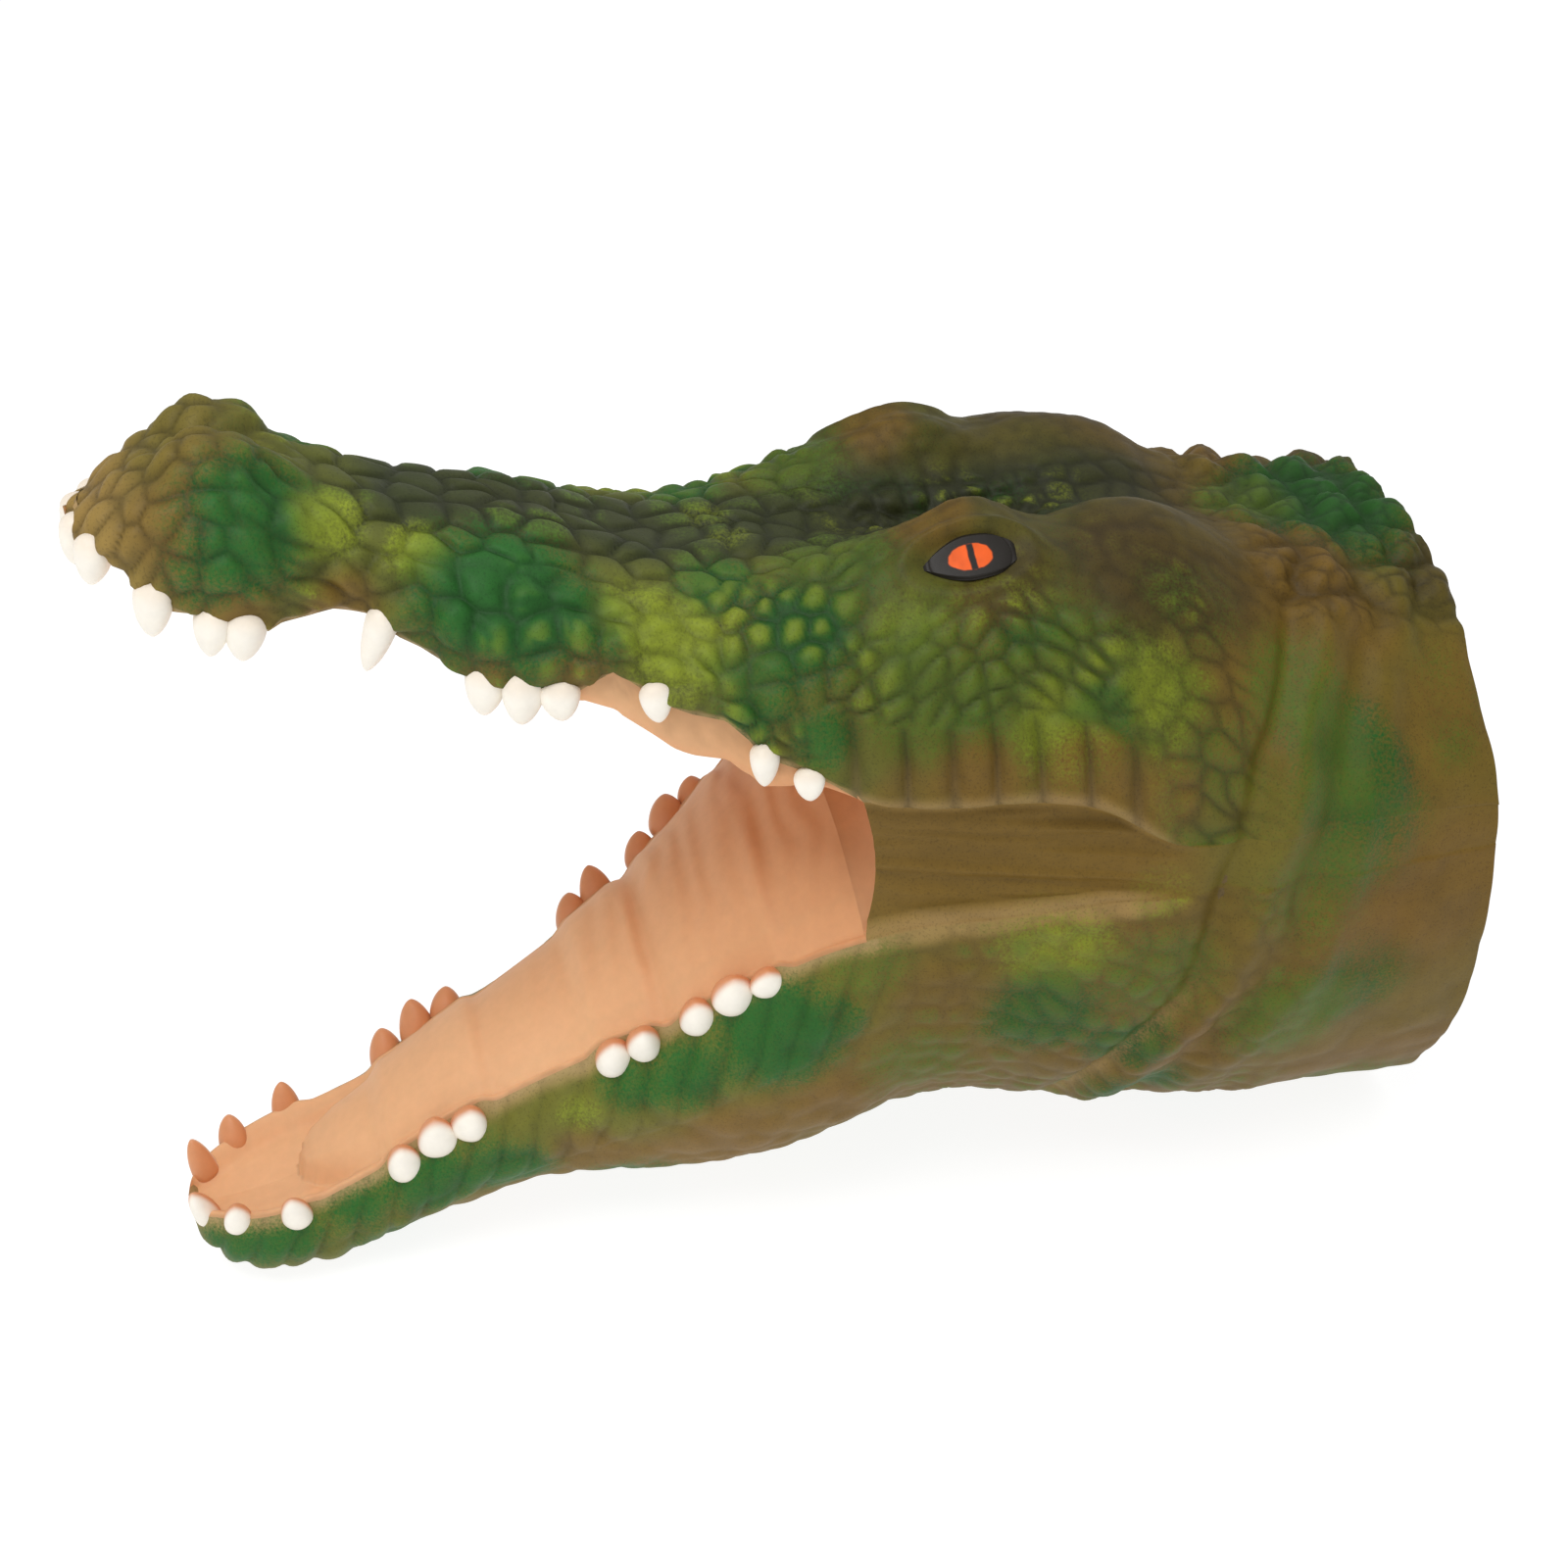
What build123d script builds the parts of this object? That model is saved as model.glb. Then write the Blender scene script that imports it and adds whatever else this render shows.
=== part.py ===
from build123d import *
import math
import os

# Crocodile-head hand puppet in soft moulded rubber.
# Millimetres, +Z up, snout towards -Y, the animal's left side at +X.
# The origin is the middle of the footprint: the head rests on its chin and
# on the flat at the bottom of the neck collar.

# ---------------------------------------------------------------- dimensions
SKIN = 2.6            # moulded skin thickness
LINING = 2.4          # mouth lining thickness
GAP = 0.4             # clearance between pieces on different moving bodies
DY = 2.0              # shift that centres the head on the origin
REAR = 124.0          # collar's cut rim (before DY)
HEAD_REAR = 70.0      # rear edge of the head's skin (crown and throat)
FOLD_FRONT, FOLD_REAR = 70.4, 95.6   # bending ring between head and collar
SPLIT_SNOUT = -6.0    # snout skin meets the crown skin here
JAW_REAR = 12.0       # rear edge of the moving jaw skin
HINGE_Y, HINGE_Z = 30.0, 94.0   # lateral axis of the mouth
NOD_Y, NOD_Z = 84.0, 66.0       # lateral axis of the head's nod on the collar
TOOTH_SINK = 1.2      # how deep a tooth root sits in its lip

# ------------------------------------------------------------ section tables
# Right half of each cross-section, (x, z) from the middle to the lip.
UPPER = {
    -117.0: [(0, 171), (4, 171), (7, 169.5), (9, 167), (10, 164.5), (9.5, 162), (8, 160.5)],
    -110.0: [(0, 177), (6, 177), (11, 175), (14.5, 171), (16, 167), (15.5, 162.5), (14.5, 159)],
    -103.0: [(0, 181), (7, 181.5), (13, 179), (17.5, 173.5), (19.5, 167), (19.5, 160.5), (18.3, 156)],
    -94.0: [(0, 182), (8, 182.5), (14.5, 179.5), (19, 173), (21.5, 165.5), (21.5, 158), (20, 152.5)],
    -85.0: [(0, 178.5), (7, 178.5), (13, 175.5), (17, 170), (19.5, 163.5), (19.5, 156), (18, 151)],
    -76.0: [(0, 174), (6, 174), (11.5, 171.5), (15, 167), (17.5, 161), (18, 154.5), (16.5, 150)],
    -64.0: [(0, 168.5), (7, 168.5), (13, 166), (18, 161), (21.5, 154.5), (23, 148), (21.5, 143.5)],
    -52.0: [(0, 164), (8, 164), (15, 161), (21, 155), (25.5, 147.5), (27.5, 140.5), (26, 135)],
    -40.0: [(0, 159), (9, 159.5), (17, 156.5), (23.5, 151), (28.5, 143.5), (30.5, 138), (29, 134)],
    -28.0: [(0, 152.5), (9, 153), (18, 151), (26, 146), (31.5, 139), (34, 131.5), (33, 126)],
    -16.0: [(0, 148.5), (10, 149), (20, 147), (29, 142), (35.5, 134), (38.5, 124.5), (37.5, 117)],
    -6.0: [(0, 147.5), (10, 148.2), (21, 147), (31, 142), (38, 133), (41.5, 122.5), (41, 114.5)],
    6.0: [(0, 145), (10, 147), (21, 149), (33, 142.5), (41, 131), (44.5, 120), (44, 111)],
    20.0: [(0, 142), (9, 147), (19, 153), (33, 145), (43, 131), (47.5, 119), (47.5, 109)],
    34.0: [(0, 140), (9, 147), (18, 156.5), (31, 149), (44, 131), (50, 119), (51, 109.5)],
    47.0: [(0, 139.5), (9, 144), (17, 149), (31, 147), (45, 131), (52, 118), (53.5, 106.5)],
    62.0: [(0, 139.5), (9, 144), (18, 148.5), (32, 144), (46, 130), (54, 112), (56, 96)],
    70.0: [(0, 138), (10, 142), (20, 145), (33, 139.5), (47, 124), (55, 106), (56.3, 90)],
}
LOWER = {
    -128.0: [(0, 10), (3, 10.2), (5.5, 11), (7, 12.5), (7.5, 14), (7.5, 15.2), (7, 16.2)],
    -121.0: [(0, 2.5), (4, 2.8), (8, 4), (11, 7), (13, 10.5), (13.5, 14), (13, 17.5)],
    -112.0: [(0, 0), (5, 0.1), (10, 2), (14, 6), (17, 11), (18, 15.5), (17.5, 20)],
    -100.0: [(0, 1.5), (6, 1.8), (12, 4), (16.5, 9), (19.5, 14.5), (20.5, 19.5), (20, 23.5)],
    -86.0: [(0, 6), (6, 6.3), (12, 8.5), (17, 13), (20.5, 19), (22, 25), (21.5, 29.5)],
    -72.0: [(0, 11.5), (7, 11.8), (13.5, 14.5), (19, 20), (22.5, 26.5), (24, 33), (23.5, 37.5)],
    -58.0: [(0, 17), (8, 17.3), (15, 20), (21, 26), (25, 33), (27, 40), (26.5, 45)],
    -44.0: [(0, 17.5), (9, 18), (17, 21), (24, 28), (28.5, 37), (30.5, 46), (30, 52.5)],
    -30.0: [(0, 14), (9, 14.5), (18, 18), (26, 26), (31.5, 37), (34, 49), (33.5, 59)],
    -16.0: [(0, 13), (10, 13.6), (20, 17.5), (29, 27), (35.5, 40), (38.5, 54), (38, 67)],
    -2.0: [(0, 15.5), (11, 16.2), (22, 20.5), (32, 31), (38.5, 45), (41.5, 60), (41.5, 76.5)],
    11.6: [(0, 18), (12, 19), (23, 24), (33, 34), (40, 48), (43.5, 64), (45, 82)],
}
THROAT = {
    12.0: [(0, 18), (12, 19), (23, 24), (33, 34), (40, 48), (43.5, 64), (45, 82)],
    30.0: [(0, 18), (13, 19), (25, 24), (36, 35), (44, 49), (48.5, 65), (50, 84)],
    48.0: [(0, 12), (14, 13), (27, 19), (39, 31), (48, 47), (53, 66), (54.5, 86)],
    62.0: [(0, 8), (14, 9), (28, 15.5), (41, 29.5), (50, 47.5), (54.8, 67), (56.2, 87.8)],
    70.0: [(0, 6.6), (14, 7.6), (28, 14.5), (41, 28.5), (50.5, 47), (55.3, 67), (56.4, 89.5)],
}
# Collar: right half from the top middle round to the end of the bottom flat.
FOLD = {
    70.4: [(0, 138), (20, 144.5), (36, 137), (48, 122), (55.3, 104), (57, 78), (53.2, 54), (41.5, 29), (28, 14.4), (14, 7.4)],
    84.0: [(0, 133), (20, 134.5), (37, 125), (49, 109), (55, 89), (56, 66), (51.5, 44), (41, 25), (28, 11.5), (14, 5)],
    95.6: [(0, 132.2), (20, 131), (36, 123), (48.2, 107.5), (54.8, 88), (56, 66), (51.5, 44), (41, 24.5), (28, 10.3), (14, 3.6)],
}
COLLAR = {
    96.0: [(0, 132.2), (20, 131), (36, 123), (48.2, 107.5), (54.8, 88), (56, 66), (51.5, 44), (41, 24.5), (28, 10.3), (14, 3.6)],
    104.0: [(0, 131.5), (19, 129.5), (35, 121), (47.5, 106), (54.5, 87), (56, 66), (51.5, 44), (41, 24), (28, 9.5), (14, 2.5)],
    124.0: [(0, 129.5), (18, 126.5), (33, 118), (46, 103.5), (53, 86), (55, 66), (51, 44), (41, 23.5), (29, 9.2), (14, 0)],
}
# Cheek web panels: y, upper edge (x, z), middle (x, z), lower edge (x, z).
WEB = [
    (5.0, (43.6, 109.6), (42.6, 95.0), (43.2, 81.0)),
    (12.0, (45.4, 108.9), (44.2, 95.5), (45.2, 82.8)),
    (20.0, (47.3, 107.9), (46.0, 95.5), (47.2, 83.6)),
    (34.0, (50.8, 108.3), (49.6, 96.5), (50.8, 85.2)),
    (47.0, (53.2, 105.4), (52.6, 95.5), (54.0, 86.6)),
    (61.6, (55.6, 94.9), (55.6, 91.5), (56.0, 88.4)),
]
# Tongue ridge over the thumb pocket: y, half width, crown height above floor.
TONGUE = [(-106.0, 7.0, 6.0), (-99.0, 10.0, 9.5), (-86.0, 11.5, 11.5), (-66.0, 13.0, 12.5),
          (-44.0, 15.0, 12.5), (-24.0, 18.0, 13.0), (-6.0, 22.0, 13.0)]

# Teeth of the left (+X) side: base point (x, y, z), direction, radius, length.
UPPER_FRONT = [
    ((3.6, -116.6, 163.0), (0.05, -0.75, -0.65), 2.9, 6.5),
    ((9.0, -113.6, 162.0), (0.30, -0.55, -0.78), 3.2, 6.5),
    ((15.2, -108.5, 158.8), (0.25, -0.35, -0.90), 3.6, 8.5),
]
UPPER_SIDE = [
    ((18.8, -99.6, 154.5), (0.20, -0.10, -0.97), 3.8, 7.5),
    ((19.3, -93.2, 153.2), (0.20, -0.05, -0.98), 3.8, 7.5),
    ((16.6, -73.0, 148.0), (0.15, -0.30, -0.94), 4.3, 10.5),
    ((22.6, -57.5, 138.8), (0.20, -0.05, -0.98), 4.0, 8.0),
    ((25.2, -50.6, 136.3), (0.20, -0.02, -0.98), 4.4, 8.5),
    ((27.4, -43.6, 135.4), (0.20, 0.02, -0.98), 3.8, 7.0),
    ((31.6, -27.2, 127.2), (0.35, 0.00, -0.94), 3.4, 6.0),
    ((37.2, -10.6, 117.8), (0.30, -0.05, -0.95), 3.4, 6.0),
    ((40.0, -3.6, 114.8), (0.30, 0.00, -0.95), 2.8, 4.0),
]
LOWER_FRONT = [
    ((6.2, -126.0, 15.8), (0.25, -0.35, 0.90), 3.0, 6.0),
    ((12.8, -119.8, 17.0), (0.40, -0.20, 0.89), 3.2, 6.0),
]
LOWER_SIDE = [
    ((17.2, -108.2, 20.4), (0.45, -0.05, 0.89), 3.2, 6.0),
    ((21.0, -84.2, 29.8), (0.45, -0.10, 0.88), 3.6, 7.5),
    ((22.4, -76.4, 34.6), (0.45, 0.00, 0.89), 3.6, 7.0),
    ((23.8, -69.6, 38.2), (0.45, 0.05, 0.89), 3.6, 7.0),
    ((29.6, -43.0, 52.4), (0.45, 0.00, 0.89), 3.8, 7.0),
    ((31.0, -37.2, 55.2), (0.45, 0.00, 0.89), 3.6, 6.5),
    ((34.4, -24.6, 61.6), (0.45, 0.00, 0.89), 3.6, 6.5),
    ((36.6, -18.0, 65.2), (0.45, 0.00, 0.89), 3.8, 6.5),
    ((38.4, -12.0, 68.8), (0.45, 0.00, 0.89), 3.4, 6.0),
]
EYE_POS, EYE_NORMAL = (30.2, 29.2, 150.6), (0.80, -0.10, 0.59)
EYE_LONG, EYE_HIGH = 8.0, 4.4      # half sizes of the lid outline


# -------------------------------------------------------------------- helpers
def plane_at(y):
    """Cross-section plane: local x is +X, local y is +Z."""
    return Plane(origin=(0, y + DY, 0), x_dir=(1, 0, 0), z_dir=(0, -1, 0))


def whole(half):
    """Left lip to right lip through the middle."""
    return [(-x, z) for x, z in reversed(half[1:])] + list(half)


def inset(points, t):
    """Open outline moved t towards its inner (concave) side."""
    cx = sum(p[0] for p in points) / len(points)
    cz = sum(p[1] for p in points) / len(points)
    out = []
    n = len(points)
    for i, (x, z) in enumerate(points):
        a, b = points[max(i - 1, 0)], points[min(i + 1, n - 1)]
        tx, tz = b[0] - a[0], b[1] - a[1]
        ln = math.hypot(tx, tz)
        nx, nz = -tz / ln, tx / ln
        if nx * (cx - x) + nz * (cz - z) < 0:
            nx, nz = -nx, -nz
        out.append((x + nx * t, z + nz * t))
    return out


def shell_face(y, half, t):
    """C-shaped wall section with open lips."""
    outer = whole(half)
    inner = inset(outer, t)
    with BuildSketch(plane_at(y)) as section:
        with BuildLine():
            Spline(*outer)
            Line(outer[-1], inner[-1])
            Spline(*reversed(inner))
            Line(inner[0], outer[0])
        make_face()
    return section.sketch


def solid_face(y, half):
    """Filled section, closed straight across the lips."""
    outer = whole(half)
    with BuildSketch(plane_at(y)) as section:
        with BuildLine():
            Spline(*outer)
            Line(outer[-1], outer[0])
        make_face()
    return section.sketch


def lerp_half(table, y):
    """Section of a table at any y, by straight interpolation."""
    ys = sorted(table)
    if y <= ys[0]:
        return table[ys[0]]
    for a, b in zip(ys, ys[1:]):
        if a <= y <= b:
            k = (y - a) / (b - a)
            return [(p[0] + k * (q[0] - p[0]), p[1] + k * (q[1] - p[1])) for p, q in zip(table[a], table[b])]
    return table[ys[-1]]


def tooth_plane(base, direction, side):
    x, y, z = base
    dx, dy, dz = direction
    ln = math.sqrt(dx * dx + dy * dy + dz * dz)
    d = (side * dx / ln, dy / ln, dz / ln)
    o = (side * x - d[0] * TOOTH_SINK, y + DY - d[1] * TOOTH_SINK, z - d[2] * TOOTH_SINK)
    return Plane(origin=o, z_dir=d)


def add_teeth(teeth, sides):
    for base, direction, radius, length in teeth:
        for side in sides:
            with Locations(tooth_plane(base, direction, side)):
                Cone(radius, radius * 0.28, length + TOOTH_SINK,
                     align=(Align.CENTER, Align.CENTER, Align.MIN))


os.makedirs("parts", exist_ok=True)

# ================================================================ upper jaw
# Snout skin: arched rubber wall with a solid nose, open below for the palate.
with BuildPart() as snout_skin:
    loft([shell_face(y, UPPER[y], SKIN) for y in sorted(UPPER) if -110.0 <= y <= SPLIT_SNOUT], ruled=True)
    loft([solid_face(y, lerp_half(UPPER, y)) for y in (-117.0, -110.0)], ruled=True)
snout_skin.part.label = "snout_skin"
export_step(snout_skin.part, "parts/snout_skin.step")

# Crown skin: forehead, brow ridges and ear ridges, down to the cheek crease.
with BuildPart() as crown_skin:
    loft([shell_face(y, UPPER[y], SKIN) for y in sorted(UPPER) if y >= SPLIT_SNOUT], ruled=True)
crown_skin.part.label = "crown_skin"
export_step(crown_skin.part, "parts/crown_skin.step")


# Palate lining: sheet across the roof of the mouth, just above the lips.
def sheet_face(y, half_width, z_low, thick):
    with BuildSketch(plane_at(y)) as section:
        with Locations((0, z_low + thick / 2)):
            Rectangle(2 * half_width, thick)
    return section.sketch


def palate_face(y):
    lip = lerp_half(UPPER, y)[-1]
    return sheet_face(y, lip[0] - 3.8, lip[1] + 2.0, LINING)


with BuildPart() as palate_lining:
    loft([palate_face(y) for y in (-106.6, -103.0, -94.0, -85.0, -76.0, -64.0,
                                   -52.0, -40.0, -28.0, -16.0, -6.4)], ruled=True)
palate_lining.part.label = "palate_lining"
export_step(palate_lining.part, "parts/palate_lining.step")

with BuildPart() as upper_front_teeth:
    add_teeth(UPPER_FRONT, (1, -1))
upper_front_teeth.part.label = "upper_front_teeth"
export_step(upper_front_teeth.part, "parts/upper_front_teeth.step")

with BuildPart() as upper_left_teeth:
    add_teeth(UPPER_SIDE, (1,))
upper_left_teeth.part.label = "upper_left_teeth"
export_step(upper_left_teeth.part, "parts/upper_left_teeth.step")

with BuildPart() as upper_right_teeth:
    add_teeth(UPPER_SIDE, (-1,))
upper_right_teeth.part.label = "upper_right_teeth"
export_step(upper_right_teeth.part, "parts/upper_right_teeth.step")


# Eyes: shallow raised domes under the brow ridges.
def eye_plane(side):
    n = EYE_NORMAL
    o = (side * EYE_POS[0] - side * n[0] * 1.5, EYE_POS[1] + DY - n[1] * 1.5, EYE_POS[2] - n[2] * 1.5)
    return Plane(origin=o, x_dir=(0, 1, 0), z_dir=(side * n[0], n[1], n[2]))


with BuildPart() as left_eye:
    with BuildSketch(eye_plane(1)):
        Ellipse(EYE_LONG, EYE_HIGH)
    extrude(amount=2.6, taper=20)
left_eye.part.label = "left_eye"
export_step(left_eye.part, "parts/left_eye.step")

with BuildPart() as right_eye:
    with BuildSketch(eye_plane(-1)):
        Ellipse(EYE_LONG, EYE_HIGH)
    extrude(amount=2.6, taper=20)
right_eye.part.label = "right_eye"
export_step(right_eye.part, "parts/right_eye.step")

# ================================================================ lower jaw
# Jaw skin: trough-shaped rubber wall with a solid chin tip.
with BuildPart() as jaw_skin:
    loft([shell_face(y, LOWER[y], SKIN) for y in sorted(LOWER) if y >= -121.0], ruled=True)
    loft([solid_face(y, lerp_half(LOWER, y)) for y in (-128.0, -121.0)], ruled=True)
jaw_skin.part.label = "jaw_skin"
export_step(jaw_skin.part, "parts/jaw_skin.step")

FLOOR_DROP = 3.6      # mouth floor's top face below the lip line


def floor_top(y):
    return lerp_half(LOWER, y)[-1][1] - FLOOR_DROP


# Mouth floor: lining beside and in front of the tongue ridge.
def floor_face(y):
    lip = lerp_half(LOWER, y)[-1]
    return sheet_face(y, lip[0] - 3.8, lip[1] - FLOOR_DROP - LINING, LINING)


with BuildPart() as mouth_floor:
    loft([floor_face(y) for y in (-117.6, -112.0, -100.0, -86.0, -72.0, -58.0,
                                  -44.0, -30.0, -16.0, -4.0)], ruled=True)
    loft([sheet_face(y, w - LINING - 0.6, floor_top(min(y, -4.0)) - 8.0, 16.0)
          for y, w, h in TONGUE[1:-1] + [(0.0, 22.0, 13.0)]], ruled=True, mode=Mode.SUBTRACT)
mouth_floor.part.label = "mouth_floor"
export_step(mouth_floor.part, "parts/mouth_floor.step")


def ridge_points(w, h, z0):
    return [(0, z0 + h), (w * 0.38, z0 + h * 0.95), (w * 0.72, z0 + h * 0.74), (w * 0.92, z0 + h * 0.42), (w, z0 + 0.05)]


# Tongue: raised lining ridge that is the top of the thumb pocket.
with BuildPart() as tongue:
    loft([shell_face(y, ridge_points(w, h, floor_top(y)), LINING) for y, w, h in TONGUE[1:]], ruled=True)
    loft([solid_face(y, ridge_points(w, h, floor_top(y))) for y, w, h in TONGUE[:2]], ruled=True)
tongue.part.label = "tongue"
export_step(tongue.part, "parts/tongue.step")

with BuildPart() as lower_front_teeth:
    add_teeth(LOWER_FRONT, (1, -1))
lower_front_teeth.part.label = "lower_front_teeth"
export_step(lower_front_teeth.part, "parts/lower_front_teeth.step")

with BuildPart() as lower_left_teeth:
    add_teeth(LOWER_SIDE, (1,))
lower_left_teeth.part.label = "lower_left_teeth"
export_step(lower_left_teeth.part, "parts/lower_left_teeth.step")

with BuildPart() as lower_right_teeth:
    add_teeth(LOWER_SIDE, (-1,))
lower_right_teeth.part.label = "lower_right_teeth"
export_step(lower_right_teeth.part, "parts/lower_right_teeth.step")


# ============================================================ neck and folds
def ring_face(y, half, t):
    """Closed collar section with a straight bottom flat."""
    right = list(half)
    left = [(-x, z) for x, z in reversed(half[1:])]
    loop = left + right               # bottom-left, over the top, bottom-right
    if t > 0:
        loop = inset(loop, t)
        flat = half[-1][1] + t
        loop[0] = (loop[0][0] + 0.6, flat)
        loop[-1] = (loop[-1][0] - 0.6, flat)
    with BuildSketch(plane_at(y)) as section:
        with BuildLine():
            Spline(*loop)
            Line(loop[-1], loop[0])
        make_face()
    return section.sketch


def ring_part_faces(table, ends):
    """Sections of a ring's bore, run a little past both of its ends."""
    ys = sorted(table)
    faces = [ring_face(ys[0] - ends, table[ys[0]], SKIN)]
    faces += [ring_face(y, table[y], SKIN) for y in ys]
    return faces + [ring_face(ys[-1] + ends, table[ys[-1]], SKIN)]


# Neck collar: rear tube of the puppet, open behind for the hand.
with BuildPart() as neck_collar:
    loft([ring_face(y, COLLAR[y], 0) for y in sorted(COLLAR)], ruled=True)
    loft(ring_part_faces(COLLAR, 1.0), ruled=True, mode=Mode.SUBTRACT)
neck_collar.part.label = "neck_collar"
export_step(neck_collar.part, "parts/neck_collar.step")

# Neck fold: bending ring of skin between the head and the collar.
with BuildPart() as neck_fold:
    loft([ring_face(y, FOLD[y], 0) for y in sorted(FOLD)], ruled=True)
    loft(ring_part_faces(FOLD, 1.0), ruled=True, mode=Mode.SUBTRACT)
neck_fold.part.label = "neck_fold"
export_step(neck_fold.part, "parts/neck_fold.step")

# Throat skin: flexing skin between the jaw and the neck.
with BuildPart() as throat_skin:
    loft([shell_face(y, THROAT[y], SKIN) for y in sorted(THROAT)], ruled=True)
throat_skin.part.label = "throat_skin"
export_step(throat_skin.part, "parts/throat_skin.step")


# Cheek webs: thin folding skin behind the corners of the mouth.
def web_face(y, a, m, b, side):
    pts = [(side * a[0], a[1]), (side * m[0], m[1]), (side * b[0], b[1])]
    ins = [(x - side * 2.2, z) for x, z in pts]
    with BuildSketch(plane_at(y)) as section:
        with BuildLine():
            Spline(*pts)
            Line(pts[-1], ins[-1])
            Spline(*reversed(ins))
            Line(ins[0], pts[0])
        make_face()
    return section.sketch


with BuildPart() as left_cheek_web:
    loft([web_face(y, a, m, b, 1) for y, a, m, b in WEB], ruled=True)
left_cheek_web.part.label = "left_cheek_web"
export_step(left_cheek_web.part, "parts/left_cheek_web.step")

with BuildPart() as right_cheek_web:
    loft([web_face(y, a, m, b, -1) for y, a, m, b in WEB], ruled=True)
right_cheek_web.part.label = "right_cheek_web"
export_step(right_cheek_web.part, "parts/right_cheek_web.step")

# Mouth back: lining that closes the rear of the mouth and folds as it shuts.
BACK = [(-5.6, 117.0), (6.0, 114.5), (14.5, 107.0), (17.5, 97.0), (14.0, 87.0), (6.5, 79.5), (-3.2, 73.6)]
with BuildPart() as mouth_back:
    with BuildSketch(Plane(origin=(0, DY, 0), x_dir=(0, 1, 0), z_dir=(1, 0, 0))):
        with BuildLine():
            inner = inset(BACK, LINING)
            Spline(*BACK)
            Line(BACK[-1], inner[-1])
            Spline(*reversed(inner))
            Line(inner[0], BACK[0])
        make_face()
    extrude(amount=37.0, both=True)
mouth_back.part.label = "mouth_back"
export_step(mouth_back.part, "parts/mouth_back.step")

for p in (snout_skin, crown_skin, palate_lining, jaw_skin, mouth_floor, tongue, neck_collar,
          neck_fold, throat_skin, left_cheek_web, right_cheek_web, mouth_back, upper_front_teeth,
          upper_left_teeth, upper_right_teeth, lower_front_teeth, lower_left_teeth, lower_right_teeth,
          left_eye, right_eye):
    print(p.part.label, len(p.part.solids()), round(p.part.volume), p.part.is_valid)
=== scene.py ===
import bpy
import math
import numpy as np
from mathutils import Matrix, Vector


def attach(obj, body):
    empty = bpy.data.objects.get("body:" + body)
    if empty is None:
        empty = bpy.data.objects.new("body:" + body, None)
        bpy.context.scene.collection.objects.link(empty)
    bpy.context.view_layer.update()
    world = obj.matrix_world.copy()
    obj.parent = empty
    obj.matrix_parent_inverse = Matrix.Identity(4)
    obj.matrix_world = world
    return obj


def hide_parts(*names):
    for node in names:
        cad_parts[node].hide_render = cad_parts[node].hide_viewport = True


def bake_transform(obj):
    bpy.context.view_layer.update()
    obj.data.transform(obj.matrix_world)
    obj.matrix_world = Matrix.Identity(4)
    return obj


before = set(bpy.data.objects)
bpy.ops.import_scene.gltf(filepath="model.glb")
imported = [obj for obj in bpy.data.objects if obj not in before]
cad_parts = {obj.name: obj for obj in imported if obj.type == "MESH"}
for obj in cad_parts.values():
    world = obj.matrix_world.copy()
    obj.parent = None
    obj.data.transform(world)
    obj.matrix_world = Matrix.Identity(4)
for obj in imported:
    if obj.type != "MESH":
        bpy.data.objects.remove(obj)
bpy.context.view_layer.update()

MM = 0.001
DY = 2.0                      # the head's sections are tabled 2 mm ahead of the row frame
scene = bpy.context.scene
rng = np.random.RandomState(7)

# ----------------------------------------------------------------- camera
cam_data = bpy.data.cameras.new("camera")
cam = bpy.data.objects.new("camera", cam_data)
scene.collection.objects.link(cam)
scene.camera = cam
cam_data.sensor_width = 36.0
cam_data.lens = 51.75
cam_data.clip_start = 0.01
cam_data.clip_end = 20.0
RIGHT = (0.2419219, 0.96858784, -0.05754472)
UP = (-0.52133951, 0.17977423, 0.83419802)
BACK = (0.81833912, -0.17181043, 0.54845444)
CAM = (0.36231964, -0.0737996, 0.33169053)
cam.matrix_world = Matrix([[RIGHT[i], UP[i], BACK[i], CAM[i]] for i in range(3)] + [[0, 0, 0, 1]])

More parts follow.
